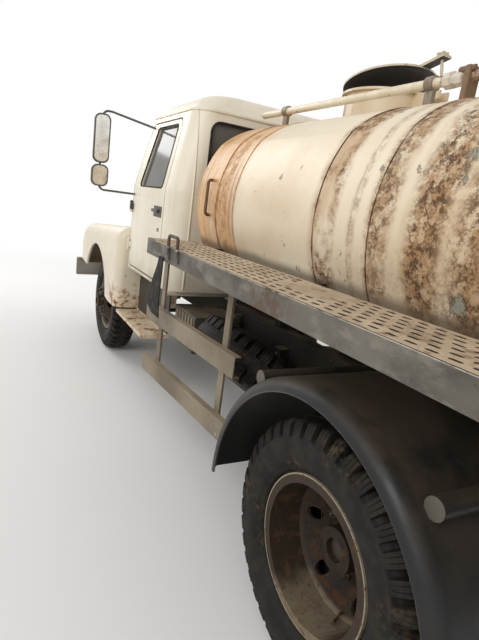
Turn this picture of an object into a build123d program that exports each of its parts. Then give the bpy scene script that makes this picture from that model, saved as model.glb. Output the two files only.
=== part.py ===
"""Bonneted two-axle tanker truck with a wheel-carried tank, side walkways and twin rear tyres.

Lengths are in millimetres. X points forward, Y to the truck's left and Z up, with the origin on
the ground below the middle of the truck.
"""

import os
from math import cos, radians, sin, sqrt

from build123d import *

# Driving dimensions of the running gear
wheelbase = 3770
front_overhang = 1080
rear_overhang = 1550
front_track = 1630
rear_track = 1625
dual_spacing = 278
tyre_radius = 475
tyre_width = 234
tyre_tread_width = 176
rim_flange_radius = 281
rim_seat_radius = 256
rim_barrel_wall = 10
rim_width = 176
rim_flange_width = 12
disc_thickness = 12
disc_dish_radius = 150
front_hub_radius = 92
front_cap_radius = 64
front_spindle_radius = 32
rear_hub_radius = 112
rear_spindle_radius = 42
running_clearance = 0.05

# Driving dimensions of the ladder frame
rail_outer_y = 432
rail_flange = 72
rail_height = 190
rail_wall = 8
rail_top_z = 915
rail_front_setback = 150
rail_rear_setback = 70
crossmember_height = 110
crossmember_depth = 70
crossmember_rise = 20
crossmembers_from_front_axle = (680, -1120)
crossmembers_from_rear_axle = (1990, 900, -30, -700, -1445)

# Driving dimensions of the cab, with stations measured forward from the rear axle
cab_back_from_axle = 1870
cab_length = 1080
cab_half_width = 965
cab_sill_z = 990
cab_belt_z = 1640
cab_drip_z = 2149
cab_drip_half_width = 872
cab_roof_z = 2262
cab_roof_half_width = 700
cab_roof_shoulder_z = 2222
cab_roof_shoulder_half_width = 800
roof_shoulder_back = 45
roof_shoulder_front = 60
roof_top_back = 260
roof_top_front = 300
roof_top_side = 200
windscreen_rake = 140
drip_rail_height = 12
drip_rail_depth = 8
cab_corner_radius = 130
cab_wall = 40

door_front_from_back = 965
door_rear_from_back = 196
door_bottom_z = 1010
door_top_z = 2110
door_gap = 12
door_corner_radius = 70
door_window_margin = 62
door_window_front_margin = 150
door_window_sill_z = 1642
glass_thickness = 6
glass_inset = 17
windscreen_half_width = 760
windscreen_low_z = 1700
windscreen_high_z = 2095
rear_window_half_width = 767
rear_window_low_z = 1700
rear_window_high_z = 2086
window_corner_radius = 60

# Driving dimensions of the tank
tank_half_width = 890
tank_half_height = 529
tank_centre_z = 1601
tank_roundness = 2.615
tank_front_from_axle = 1676
tank_rear_from_axle = -1360
tank_head_depth = 140
tank_seam_stations_from_axle = (1416, 1206, 496, 184, -1250)
tank_seam_width = 12
tank_seam_height = 3
manhole_from_axle = 1200
manhole_radius = 235
manhole_wall = 8
manhole_top_z = 2300
lid_overhang = 22
lid_thickness = 10
lid_dome = 55
lid_seal_gap = 0.3

# Driving dimensions of the walkways and the fenders
walkway_from_tank = 45
walkway_width = 276
walkway_top_z = 1359
walkway_depth = 81
walkway_wall = 8
walkway_front_from_axle = 1560
walkway_rear_from_axle = -1400
rear_fender_radius = 620
rear_fender_lip_radius = 572
rear_fender_outer_y = 1140
rear_fender_inner_y = 640
rear_fender_wall = 6
fender_tube_radius = 31
fender_tube_packer = 20
fender_tube_outer_y = 1065

# Driving dimensions of the power unit and the axles, behind and below the bonnet
engine_length = 860
engine_width = 380
engine_height = 520
engine_bottom_z = 690
engine_behind_axle = 40
engine_corner_radius = 40
engine_foot = 60
radiator_setback = 375
radiator_depth = 90
radiator_half_width = 290
radiator_top_z = 1330
gearbox_length = 560
gearbox_width = 260
gearbox_z = 700
prop_shaft_radius = 45
pinion_reach = 260
pinion_rise = 60
kingpin_inset = 175
kingpin_radius = 20
eye_radius = 44
eye_height = 100
beam_depth = 70
beam_height = 80
beam_top_z = 452
beam_drop_y = 470
beam_recess = 18
knuckle_ear = 25
knuckle_gap = 0.5
knuckle_web_inner = 50
knuckle_web_outer = 78
knuckle_half_length = 42
steering_arm_reach = 180
steering_arm_width = 44
tie_rod_radius = 16
tie_rod_drop = 40
tie_rod_pin_radius = 11
spring_half_length = 640
spring_eye_z = 690
spring_width = 62
spring_hanger_length = 46
spring_pad_length = 130
main_leaf = 12
front_pad_height = 36
front_pack_height = 52
rear_pad_height = 22
rear_pack_height = 84
axle_tube_radius = 62
banjo_radius = 190
banjo_half_width = 235
banjo_depth = 210
rear_hub_inboard = 165
rear_hub_outboard = 112
hub_cap_depth = 25
hub_end_gap = 5
drum_radius = 200
drum_width = 70
front_hub_reach = 48
disc_root_offset = 66
hand_hole_radius = 26
hand_hole_circle_radius = 197
hand_hole_count = 6
tyre_shoulder_drop = 34
tyre_shoulder_bulge = 14
tyre_crown = 8

# Driving dimensions of what hangs under the frame
fuel_tank_front_from_axle = 1500
fuel_tank_length = 800
fuel_tank_height = 340
fuel_tank_width = 430
fuel_tank_top_z = 880
fuel_tank_from_rail = 45
bracket_thickness = 40
battery_front_from_axle = 2060
battery_length = 360
battery_height = 250
battery_width = 330
battery_top_z = 860
muffler_front_from_axle = 2500
muffler_length = 620
muffler_radius = 85
muffler_y = -250
muffler_z = 610
exhaust_pipe_radius = 27
exhaust_outlet_y = -900
spare_from_axle = 1180
spare_y = 560
spare_z = 655
spare_tilt = 35
spare_post_radius = 28
spare_post_length = 165
spare_bracket_reach = 62

# Driving dimensions of the nose, from the cab's front wall to the bumper
nose_from_front = 215
hood_rear_half_width = 520
hood_front_half_width = 440
hood_rear_top_z = 1585
hood_front_top_z = 1405
hood_rear_bottom_z = 1318
hood_front_bottom_z = 1222
hood_shoulder_radius = 130
hood_wall = 20
hood_gap = 12
fender_outer_y = 1030
fender_inner_y = 462
fender_wall = 18
fender_rear_top_z = 1305
fender_front_top_z = 1200
fender_rear_bottom_z = 610
fender_front_bottom_z = 790
fender_nose_radius = 260
fender_edge_radius = 110
front_arch_reach = 560
front_arch_radius = 500
front_arch_lead = 46
front_arch_rise = 71
fender_corner_radius = 70
grille_bottom_z = 930
grille_depth = 36
grille_frame = 34
grille_bar_height = 14
grille_bar_count = 11
headlamp_y = 700
headlamp_z = 1010
headlamp_radius = 92
headlamp_depth = 70
bumper_half_width = 1050
bumper_sweep = 70
bumper_low_z = 560
bumper_high_z = 760
bumper_depth = 62
bumper_wall = 8

# Driving dimensions of the cab's inside and its steps
floor_thickness = 16
cab_mount_height = cab_sill_z - rail_top_z
seat_depth = 470
seat_half_width = 700
seat_base_height = 284
seat_cushion_height = 130
seat_back_height = 480
seat_back_depth = 130
seat_setback = 60
dash_depth = 210
dash_height = 230
dash_top_z = 1620
steering_wheel_from_side = 565
steering_wheel_radius = 215
steering_wheel_rim = 14
steering_wheel_tilt = 35
steering_wheel_from_dash = 150
step_rear_from_back = 300
step_length = 770
step_width = 190
step_thickness = 26
step_z = 600
step_outer_y = 1010
apron_wall = 12
door_hinge_radius = 11
door_hinge_pin_radius = 6
door_hinge_offset = 14
door_hinge_length = 46
door_hinge_low_z = 1180
door_hinge_high_z = 1480
door_handle_length = 120
door_handle_z = 1490
mirror_mast_y = 1250
mirror_mast_from_back = 930
mirror_low_z = 1770
mirror_high_z = 2120
mirror_width = 118
mirror_depth = 26
mirror_corner_radius = 45
small_mirror_low_z = 1600
small_mirror_high_z = 1760
small_mirror_width = 125
mirror_arm_radius = 8
mirror_arm_bend = 45
mirror_arm_top_z = 2145
mirror_arm_turn = 70
mirror_foot_low_z = 1575
mirror_foot_high_z = 2070
mirror_foot_high_from_back = 785

# Driving dimensions of the tank's fittings
saddle_thickness = 60
saddle_half_width = 520
saddle_stations_from_axle = (1300, 60, -1080)
manhole_flange = 22
manhole_flange_thickness = 12
lid_hinge_reach = 40
lid_hinge_radius = 14
lid_hinge_pin_radius = 8
lid_hinge_width = 60
lid_hinge_lug = 14
lid_rest_angle = 12
lid_strap_rise = 12
lid_strap_thickness = 14
lid_strap_end_reach = 128
lid_screw_radius = 8
lid_screw_drop = 96
lid_nut_radius = 30
lid_nut_height = 16
lid_fork_reach = 165
lid_fork_height = 48
lid_fork_gap = 44
top_pipe_radius = 19
top_pipe_y = 480
top_pipe_z = 2162
top_pipe_front_from_axle = 1740
top_pipe_rear_from_axle = -900
top_pipe_bracket_width = 40
top_pipe_stations_from_axle = (1480, 430, -700)
tank_handle_radius = 9
tank_handle_bend = 20
tank_handle_from_axle = 1476
tank_handle_stand_off = 32
tank_handle_low_z = 1527
tank_handle_high_z = 1718
walkway_bracket_width = 8
walkway_bracket_drop = 150
walkway_stations_from_axle = (1380, 420, -420, -1300)
walkway_lip = 26
walkway_loop_front_from_axle = 1185
walkway_loop_rear_from_axle = 1060
walkway_loop_top_z = 1416
walkway_loop_stand_off = 10
walkway_loop_radius = 8
walkway_loop_pad = 40
guard_front_from_axle = 1690
guard_rear_from_axle = 660
guard_front_y = 1140
guard_rear_y = 1058
guard_upper_top_z = 965
guard_lower_top_z = 640
guard_rail_height = 100
guard_rail_depth = 34
guard_rail_wall = 5
guard_post_width = 46
guard_post_depth = 12
guard_post_inset = 150
rear_bar_low_z = 740
rear_bar_high_z = 860
rear_bar_half_width = 1100
rear_bar_wall = 6
rear_bar_setback = 32
lamp_depth = 38
lamp_plate_length = 200
lamp_plate_drop = 100
tail_lamp_y = 900
tail_lamp_length = 180
tail_lamp_height = 90
outlet_radius = 45
outlet_bore_radius = 38
outlet_z = 1150
outlet_flange_radius = 84
outlet_flange_thickness = 16
outlet_bolt_circle_radius = 64
outlet_bolt_radius = 6
outlet_bolt_count = 6
outlet_reach = 10
outlet_bore_depth = 60
ladder_from_walkway = 137
ladder_width = 260
ladder_stile = 30
ladder_rung_radius = 11
ladder_rung_count = 4
ladder_low_z = 560

# Stations worked out from the driving dimensions
overall_length = front_overhang + wheelbase + rear_overhang
front_x = overall_length / 2
rear_x = -overall_length / 2
front_axle_x = front_x - front_overhang
rear_axle_x = front_axle_x - wheelbase
axle_z = tyre_radius
rail_bottom_z = rail_top_z - rail_height
rail_front_x = front_x - rail_front_setback
rail_rear_x = rear_x + rail_rear_setback
cab_back_x = rear_axle_x + cab_back_from_axle
cab_front_x = cab_back_x + cab_length
tank_front_x = rear_axle_x + tank_front_from_axle
tank_rear_x = rear_axle_x + tank_rear_from_axle
manhole_x = rear_axle_x + manhole_from_axle
tank_handle_y = tank_half_width + tank_handle_stand_off
walkway_inner_y = tank_half_width + walkway_from_tank
walkway_outer_y = walkway_inner_y + walkway_width
walkway_loop_y = walkway_outer_y + walkway_loop_stand_off
steering_wheel_y = cab_half_width - steering_wheel_from_side
ladder_y = -(walkway_outer_y - ladder_from_walkway)

os.makedirs("parts", exist_ok=True)


def save(part, name):
    """Labels a finished piece and writes its STEP file."""
    part.label = name
    export_step(part, f"parts/{name}.step")


def round_bar(start, end, radius):
    """A straight round bar between two points."""
    run = Vector(*end) - Vector(*start)
    with BuildPart() as bar:
        with BuildSketch(Plane(origin=start, z_dir=run)):
            Circle(radius)
        extrude(amount=run.length)
    return bar.part


def bent_bar(plane, points, bend_radius, radius):
    """A round bar bent through points that are drawn on a plane."""
    with BuildPart() as bar:
        with BuildLine(plane) as path:
            FilletPolyline(*points, radius=bend_radius)
        with BuildSketch(Plane(origin=path.line @ 0, z_dir=path.line % 0)):
            Circle(radius)
        sweep(path=path.line)
    return bar.part


def cap_rise(half_chord, height, radius):
    """The height of a spherical cap at a radius, measured from its rim."""
    ball = (half_chord**2 + height**2) / (2 * height)
    return sqrt(ball**2 - radius**2) - ball + height


def wheel_plane(x, y, z):
    """A plane whose local X is the wheel's radius and whose local Y is the wheel's axis."""
    return Plane(origin=(x, y, z), x_dir=(1, 0, 0), z_dir=(0, 0, 1))


# Ladder frame: two channel rails, open inwards, and the members between them
with BuildPart() as frame_rails:
    with BuildSketch(Plane.YZ.offset(rail_rear_x)) as rail_section:
        with BuildLine():
            Polyline(
                (rail_outer_y, rail_bottom_z),
                (rail_outer_y, rail_top_z),
                (rail_outer_y - rail_flange, rail_top_z),
                (rail_outer_y - rail_flange, rail_top_z - rail_wall),
                (rail_outer_y - rail_wall, rail_top_z - rail_wall),
                (rail_outer_y - rail_wall, rail_bottom_z + rail_wall),
                (rail_outer_y - rail_flange, rail_bottom_z + rail_wall),
                (rail_outer_y - rail_flange, rail_bottom_z),
                close=True,
            )
        make_face()
    extrude(amount=rail_front_x - rail_rear_x)
    mirror(about=Plane.XZ)
save(frame_rails.part, "frame_rails")

crossmember_z = (rail_top_z + rail_bottom_z) / 2 + crossmember_rise
crossmember_stations = [front_axle_x + ahead for ahead in crossmembers_from_front_axle]
crossmember_stations += [rear_axle_x + ahead for ahead in crossmembers_from_rear_axle]
with BuildPart() as frame_crossmembers:
    for station in crossmember_stations:
        with BuildSketch(Plane.XZ.offset(-(rail_outer_y - rail_wall))):
            with Locations((station, crossmember_z)):
                Rectangle(crossmember_depth, crossmember_height)
                Rectangle(
                    crossmember_depth - 2 * rail_wall,
                    crossmember_height - 2 * rail_wall,
                    mode=Mode.SUBTRACT,
                )
        extrude(amount=2 * (rail_outer_y - rail_wall))
save(frame_crossmembers.part, "frame_crossmembers")

# Plain engine, radiator and driveline masses
engine_x = front_axle_x - engine_behind_axle
rail_inner_y = rail_outer_y - rail_flange
with BuildPart() as engine:
    with BuildSketch(Plane.XY.offset(engine_bottom_z)):
        with Locations((engine_x, 0)):
            RectangleRounded(engine_length, engine_width, engine_corner_radius)
    extrude(amount=engine_height)
    with BuildSketch(Plane.XZ.offset(-rail_inner_y)):
        with Locations(
            (engine_x - engine_length / 4, rail_bottom_z + engine_foot / 2),
            (engine_x + engine_length / 4, rail_bottom_z + engine_foot / 2),
        ):
            Rectangle(engine_foot, engine_foot)
    extrude(amount=2 * rail_inner_y)
save(engine.part, "engine_block")

radiator_x = front_x - radiator_setback
with BuildPart() as radiator:
    with BuildSketch(Plane.YZ.offset(radiator_x)):
        with Locations((0, (rail_top_z + radiator_top_z) / 2)):
            RectangleRounded(2 * radiator_half_width, radiator_top_z - rail_top_z, 20)
        with Locations((0, rail_top_z + rail_wall)):
            Rectangle(2 * rail_outer_y, 2 * rail_wall)
    extrude(amount=radiator_depth)
save(radiator.part, "radiator")

gearbox_front_x = engine_x - engine_length / 2
gearbox_rear_x = gearbox_front_x - gearbox_length
shaft_front = Vector(gearbox_rear_x, 0, gearbox_z)
shaft_end = Vector(rear_axle_x + pinion_reach, 0, axle_z + pinion_rise)
shaft_run = shaft_front - shaft_end
shaft_axis = shaft_run.normalized()
with BuildPart() as driveline:
    with BuildSketch(Plane.YZ.offset(gearbox_front_x)):
        with Locations((0, gearbox_z)):
            RectangleRounded(gearbox_width, gearbox_width, gearbox_width / 6)
    with BuildSketch(Plane.YZ.offset(gearbox_rear_x)):
        with Locations((0, gearbox_z)):
            RectangleRounded(gearbox_width / 2, gearbox_width / 2, gearbox_width / 12)
    loft(ruled=True)
    with BuildSketch(Plane(origin=shaft_end, z_dir=shaft_axis)):
        Circle(prop_shaft_radius)
    extrude(amount=shaft_run.length + prop_shaft_radius)
save(driveline.part, "driveline")

# Front axle beam with kingpin eyes, and the leaf springs that carry the frame on it
kingpin_y = front_track / 2 - kingpin_inset
beam_end_y = kingpin_y - eye_radius - hub_end_gap
with BuildPart() as front_axle:
    with BuildSketch(Plane.YZ.offset(front_axle_x - beam_depth / 2)):
        with BuildLine():
            Polyline(
                (-kingpin_y, axle_z + eye_height / 3),
                (-kingpin_y, axle_z - eye_height / 3),
                (-beam_end_y, axle_z - eye_height / 3),
                (-beam_drop_y, beam_top_z - beam_height),
                (beam_drop_y, beam_top_z - beam_height),
                (beam_end_y, axle_z - eye_height / 3),
                (kingpin_y, axle_z - eye_height / 3),
                (kingpin_y, axle_z + eye_height / 3),
                (beam_end_y, axle_z + eye_height / 3),
                (beam_drop_y, beam_top_z),
                (-beam_drop_y, beam_top_z),
                (-beam_end_y, axle_z + eye_height / 3),
                close=True,
            )
        make_face()
    extrude(amount=beam_depth)
    for face_x in (front_axle_x - beam_depth / 2, front_axle_x + beam_depth / 2 - beam_recess):
        with BuildSketch(Plane.YZ.offset(face_x)):
            with Locations((0, beam_top_z - beam_height / 2)):
                Rectangle(2 * beam_drop_y - beam_height, beam_height - 2 * beam_recess)
        extrude(amount=beam_recess, mode=Mode.SUBTRACT)
    with BuildSketch(Plane.XY.offset(axle_z - eye_height / 2)):
        with Locations((front_axle_x, kingpin_y), (front_axle_x, -kingpin_y)):
            Circle(eye_radius)
    extrude(amount=eye_height)
    with BuildSketch(Plane.XY.offset(axle_z - eye_height / 2)):
        with Locations((front_axle_x, kingpin_y), (front_axle_x, -kingpin_y)):
            Circle(kingpin_radius + running_clearance)
    extrude(amount=eye_height, mode=Mode.SUBTRACT)
save(front_axle.part, "front_axle")


def leaf_springs(axle_x, seat_z, pad_height, pack_height):
    """Two leaf packs under the rails, each with its axle pad and two frame hangers."""
    pack_bottom_z = seat_z + pad_height
    front_end = axle_x + spring_half_length
    rear_end = axle_x - spring_half_length
    leaf_low_z = spring_eye_z - main_leaf
    with BuildPart() as springs:
        with BuildSketch(Plane.XZ.offset(-(rail_centre_y + spring_width / 2))):
            with BuildLine():
                ThreePointArc(
                    (rear_end, spring_eye_z), (axle_x, pack_bottom_z + pack_height), (front_end, spring_eye_z)
                )
                Line((front_end, spring_eye_z), (front_end, leaf_low_z))
                ThreePointArc((front_end, leaf_low_z), (axle_x, pack_bottom_z), (rear_end, leaf_low_z))
                Line((rear_end, leaf_low_z), (rear_end, spring_eye_z))
            make_face()
            for end_x in (rear_end, front_end):
                with BuildLine():
                    Polyline(
                        (end_x - spring_hanger_length / 2, spring_eye_z - 2 * main_leaf),
                        (end_x + spring_hanger_length / 2, spring_eye_z - 2 * main_leaf),
                        (end_x + spring_hanger_length, rail_bottom_z),
                        (end_x - spring_hanger_length, rail_bottom_z),
                        close=True,
                    )
                make_face()
            with Locations((axle_x, seat_z + (pad_height + main_leaf) / 2)):
                Rectangle(spring_pad_length, pad_height + main_leaf)
        extrude(amount=spring_width)
        mirror(about=Plane.XZ)
    return springs.part


rail_centre_y = rail_outer_y - rail_flange / 2

# Rear axle: banjo housing, tubes and the spindles that the twin wheels turn on
rear_mid_y = rear_track / 2
rear_hub_inner_y = rear_mid_y - rear_hub_inboard
rear_hub_outer_y = rear_mid_y + rear_hub_outboard
rear_tube_end_y = rear_hub_inner_y - hub_end_gap
rear_spindle_end_y = rear_hub_outer_y - hub_cap_depth
with BuildPart() as rear_axle:
    with BuildSketch(Plane.XZ.offset(-rear_tube_end_y)):
        with Locations((rear_axle_x, axle_z)):
            Circle(axle_tube_radius)
    extrude(amount=2 * rear_tube_end_y)
    with BuildSketch(Plane.XZ.offset(-rear_spindle_end_y)):
        with Locations((rear_axle_x, axle_z)):
            Circle(rear_spindle_radius)
    extrude(amount=2 * rear_spindle_end_y)
    with BuildSketch(Plane.YZ.offset(rear_axle_x - banjo_depth / 2)):
        with Locations((0, axle_z)):
            Ellipse(banjo_half_width, banjo_radius)
    extrude(amount=banjo_depth)
    with BuildSketch(Plane(origin=shaft_end, z_dir=-shaft_axis)):
        Circle(prop_shaft_radius * 1.6)
    extrude(amount=pinion_reach)
save(rear_axle.part, "rear_axle")
with BuildPart() as all_springs:
    add(leaf_springs(front_axle_x, beam_top_z, front_pad_height, front_pack_height))
    add(leaf_springs(rear_axle_x, axle_z + axle_tube_radius, rear_pad_height, rear_pack_height))
save(all_springs.part, "leaf_springs")


# Wheels: a tyre is a turned ring on its rim, and the rim, disc, drum and hub are one piece
def tyre_ring(x, mid_y, z):
    """One tyre, turned about the wheel's axis, with a rounded wall and a crowned tread."""
    half_bead = rim_width / 2 - rim_flange_width
    half_tread = tyre_tread_width / 2
    shoulder_y = half_tread + tyre_shoulder_bulge
    wall_radius = (rim_seat_radius + tyre_radius) / 2 + tyre_crown
    shoulder_radius = tyre_radius - tyre_shoulder_drop
    tread_radius = tyre_radius - tyre_crown
    bead_radius = rim_flange_radius + tyre_crown
    with BuildPart() as ring:
        with BuildSketch(wheel_plane(x, mid_y, z)):
            with BuildLine():
                Polyline(
                    (bead_radius, -half_bead),
                    (rim_seat_radius, -half_bead),
                    (rim_seat_radius, half_bead),
                    (bead_radius, half_bead),
                )
                ThreePointArc(
                    (bead_radius, half_bead), (wall_radius, tyre_width / 2), (shoulder_radius, shoulder_y)
                )
                Line((shoulder_radius, shoulder_y), (tread_radius, half_tread))
                ThreePointArc((tread_radius, half_tread), (tyre_radius, 0), (tread_radius, -half_tread))
                Line((tread_radius, -half_tread), (shoulder_radius, -shoulder_y))
                ThreePointArc(
                    (shoulder_radius, -shoulder_y), (wall_radius, -tyre_width / 2), (bead_radius, -half_bead)
                )
            make_face()
        revolve(axis=Axis((x, mid_y, z), (0, 1, 0)))
    return ring.part


def ring_section(inner_radius, outer_radius, low_y, high_y):
    """Adds a plain turned ring's half section to the sketch being drawn."""
    with Locations(((inner_radius + outer_radius) / 2, (low_y + high_y) / 2)):
        Rectangle(outer_radius - inner_radius, high_y - low_y)


def rim_section(mid_y, side):
    """Adds one rim's half section, its disc dished towards side, to the sketch being drawn."""
    low_y = mid_y - rim_width / 2
    high_y = mid_y + rim_width / 2
    barrel_inner = rim_seat_radius - rim_barrel_wall
    ring_section(barrel_inner, rim_seat_radius, low_y, high_y)
    ring_section(barrel_inner, rim_flange_radius, low_y, low_y + rim_flange_width)
    ring_section(barrel_inner, rim_flange_radius, high_y - rim_flange_width, high_y)
    face_y = mid_y + side * dual_spacing / 2
    back_y = face_y - side * disc_thickness
    root_y = mid_y + side * disc_root_offset
    root_radius = rim_seat_radius - rim_barrel_wall / 2
    Polygon(
        (root_radius, root_y),
        (disc_dish_radius, face_y),
        (front_hub_radius, face_y),
        (front_hub_radius, back_y),
        (disc_dish_radius, back_y),
        (root_radius, root_y - side * disc_thickness * 1.3),
        align=None,
    )


def hand_holes(x, z, low_y, high_y):
    """The ring of round bars that cut the hand holes through the discs between two planes."""
    with BuildPart() as bars:
        with BuildSketch(Plane.XZ.offset(-high_y)):
            with Locations((x, z)):
                with PolarLocations(hand_hole_circle_radius, hand_hole_count):
                    Circle(hand_hole_radius)
        extrude(amount=high_y - low_y)
    return bars.part


front_mid_y = front_track / 2
front_face_y = front_mid_y + dual_spacing / 2
front_hub_inner_y = kingpin_y + knuckle_web_outer + hub_end_gap
front_hub_outer_y = front_face_y + front_hub_reach
front_bore_radius = front_spindle_radius + running_clearance
front_axis = Axis((front_axle_x, 0, axle_z), (0, 1, 0))
with BuildPart() as front_rim:
    with BuildSketch(wheel_plane(front_axle_x, 0, axle_z)):
        rim_section(front_mid_y, 1)
        ring_section(
            front_bore_radius, front_hub_radius, front_hub_inner_y, front_face_y + front_hub_reach / 3
        )
        ring_section(front_bore_radius, front_cap_radius, front_hub_inner_y, front_hub_outer_y)
        ring_section(front_hub_radius, drum_radius, front_hub_inner_y, front_hub_inner_y + drum_width)
    revolve(axis=front_axis)
    add(
        hand_holes(front_axle_x, axle_z, front_hub_inner_y + drum_width, front_face_y),
        mode=Mode.SUBTRACT,
    )
front_tyre = tyre_ring(front_axle_x, front_mid_y, axle_z)
save(front_tyre, "wheel_front_left_tyre")
save(mirror(front_tyre, about=Plane.XZ), "wheel_front_right_tyre")
save(front_rim.part, "wheel_front_left_rim")
save(mirror(front_rim.part, about=Plane.XZ), "wheel_front_right_rim")

rear_inner_mid_y = rear_mid_y - dual_spacing / 2
rear_outer_mid_y = rear_mid_y + dual_spacing / 2
rear_bore_radius = rear_spindle_radius + running_clearance
rear_axis = Axis((rear_axle_x, 0, axle_z), (0, 1, 0))
with BuildPart() as rear_rims:
    with BuildSketch(wheel_plane(rear_axle_x, 0, axle_z)):
        rim_section(rear_inner_mid_y, 1)
        rim_section(rear_outer_mid_y, -1)
        ring_section(rear_bore_radius, rear_hub_radius, rear_hub_inner_y, rear_mid_y + disc_thickness * 2)
        ring_section(rear_bore_radius, rear_hub_radius * 0.72, rear_hub_inner_y, rear_hub_outer_y)
        ring_section(rear_hub_radius, drum_radius, rear_hub_inner_y, rear_hub_inner_y + drum_width)
    revolve(axis=rear_axis)
    add(
        hand_holes(rear_axle_x, axle_z, rear_hub_inner_y + drum_width, rear_outer_mid_y),
        mode=Mode.SUBTRACT,
    )
with BuildPart() as rear_tyres:
    add(tyre_ring(rear_axle_x, rear_inner_mid_y, axle_z))
    add(tyre_ring(rear_axle_x, rear_outer_mid_y, axle_z))
save(rear_tyres.part, "wheel_rear_left_tyres")
save(mirror(rear_tyres.part, about=Plane.XZ), "wheel_rear_right_tyres")
save(rear_rims.part, "wheel_rear_left_rims")
save(mirror(rear_rims.part, about=Plane.XZ), "wheel_rear_right_rims")

# Steering knuckles on their kingpins, and the tie rod between their arms
ear_low_z = axle_z - eye_height / 2 - knuckle_gap - knuckle_ear
ear_high_z = axle_z + eye_height / 2 + knuckle_gap
arm_x = front_axle_x - steering_arm_reach
spindle_end_y = front_hub_outer_y - hub_cap_depth
with BuildPart() as knuckle:
    with BuildSketch(Plane.XY.offset(ear_low_z)):
        with Locations((front_axle_x, kingpin_y)):
            Circle(eye_radius)
        with Locations((front_axle_x, kingpin_y + knuckle_web_outer / 2)):
            Rectangle(2 * knuckle_half_length, knuckle_web_outer)
    extrude(amount=knuckle_ear)
    with BuildSketch(Plane.XY.offset(ear_high_z)):
        with Locations((front_axle_x, kingpin_y)):
            Circle(eye_radius)
        with Locations((front_axle_x, kingpin_y + knuckle_web_outer / 2)):
            Rectangle(2 * knuckle_half_length, knuckle_web_outer)
    extrude(amount=knuckle_ear)
    with BuildSketch(Plane.XY.offset(ear_low_z)):
        with Locations((front_axle_x, kingpin_y + (knuckle_web_inner + knuckle_web_outer) / 2)):
            Rectangle(2 * knuckle_half_length, knuckle_web_outer - knuckle_web_inner)
    extrude(amount=ear_high_z + knuckle_ear - ear_low_z)
    with BuildSketch(Plane.XY.offset(ear_low_z)):
        with Locations((front_axle_x, kingpin_y)):
            Circle(kingpin_radius)
    extrude(amount=ear_high_z + knuckle_ear - ear_low_z)
    with BuildSketch(Plane.XZ.offset(-spindle_end_y)):
        with Locations((front_axle_x, axle_z)):
            Circle(front_spindle_radius)
    extrude(amount=spindle_end_y - kingpin_y - knuckle_web_inner)
    with BuildSketch(Plane.XY.offset(ear_low_z)):
        with Locations((front_axle_x - steering_arm_reach / 2, kingpin_y)):
            Rectangle(steering_arm_reach, steering_arm_width)
        with Locations((arm_x, kingpin_y)):
            Circle(steering_arm_width / 2)
            Circle(tie_rod_pin_radius + running_clearance, mode=Mode.SUBTRACT)
    extrude(amount=knuckle_ear)
save(knuckle.part, "knuckle_left")
save(mirror(knuckle.part, about=Plane.XZ), "knuckle_right")

tie_rod_z = ear_low_z - tie_rod_drop
with BuildPart() as tie_rod:
    with BuildSketch(Plane.XZ.offset(-kingpin_y)):
        with Locations((arm_x, tie_rod_z)):
            Circle(tie_rod_radius)
    extrude(amount=2 * kingpin_y)
    with BuildSketch(Plane.XY.offset(tie_rod_z)):
        with Locations((arm_x, kingpin_y), (arm_x, -kingpin_y)):
            Circle(tie_rod_pin_radius)
    extrude(amount=tie_rod_drop + knuckle_ear)
    with BuildSketch(Plane.XY.offset(tie_rod_z - tie_rod_radius)):
        with Locations((arm_x, kingpin_y), (arm_x, -kingpin_y)):
            Circle(tie_rod_radius * 1.3)
    extrude(amount=tie_rod_drop)
save(tie_rod.part, "tie_rod")


# Fuel tank, battery box, exhaust and spare wheel, each hung from the rails
def side_box(front_from_axle, length, width, height, top_z, side, corner_radius):
    """A rounded box beside one rail, with two brackets that reach the rail's web."""
    front = rear_axle_x + front_from_axle
    inner_y = rail_outer_y + fuel_tank_from_rail
    with BuildPart() as box:
        with BuildSketch(Plane.YZ.offset(front - length)):
            with Locations((side * (inner_y + width / 2), top_z - height / 2)):
                RectangleRounded(width, height, corner_radius)
        extrude(amount=length)
        for station in (front - length * 0.2, front - length * 0.8):
            with BuildSketch(Plane.YZ.offset(station - bracket_thickness / 2)):
                bracket_y = side * (rail_outer_y + inner_y + corner_radius) / 2
                with Locations((bracket_y, rail_top_z - rail_height / 2)):
                    Rectangle(inner_y + corner_radius - rail_outer_y, rail_height / 2)
            extrude(amount=bracket_thickness)
    return box.part


fuel_tank = side_box(
    fuel_tank_front_from_axle, fuel_tank_length, fuel_tank_width, fuel_tank_height, fuel_tank_top_z, -1, 90
)
save(fuel_tank, "fuel_tank")
battery_box = side_box(
    battery_front_from_axle, battery_length, battery_width, battery_height, battery_top_z, 1, 12
)
save(battery_box, "battery_box")

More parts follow.
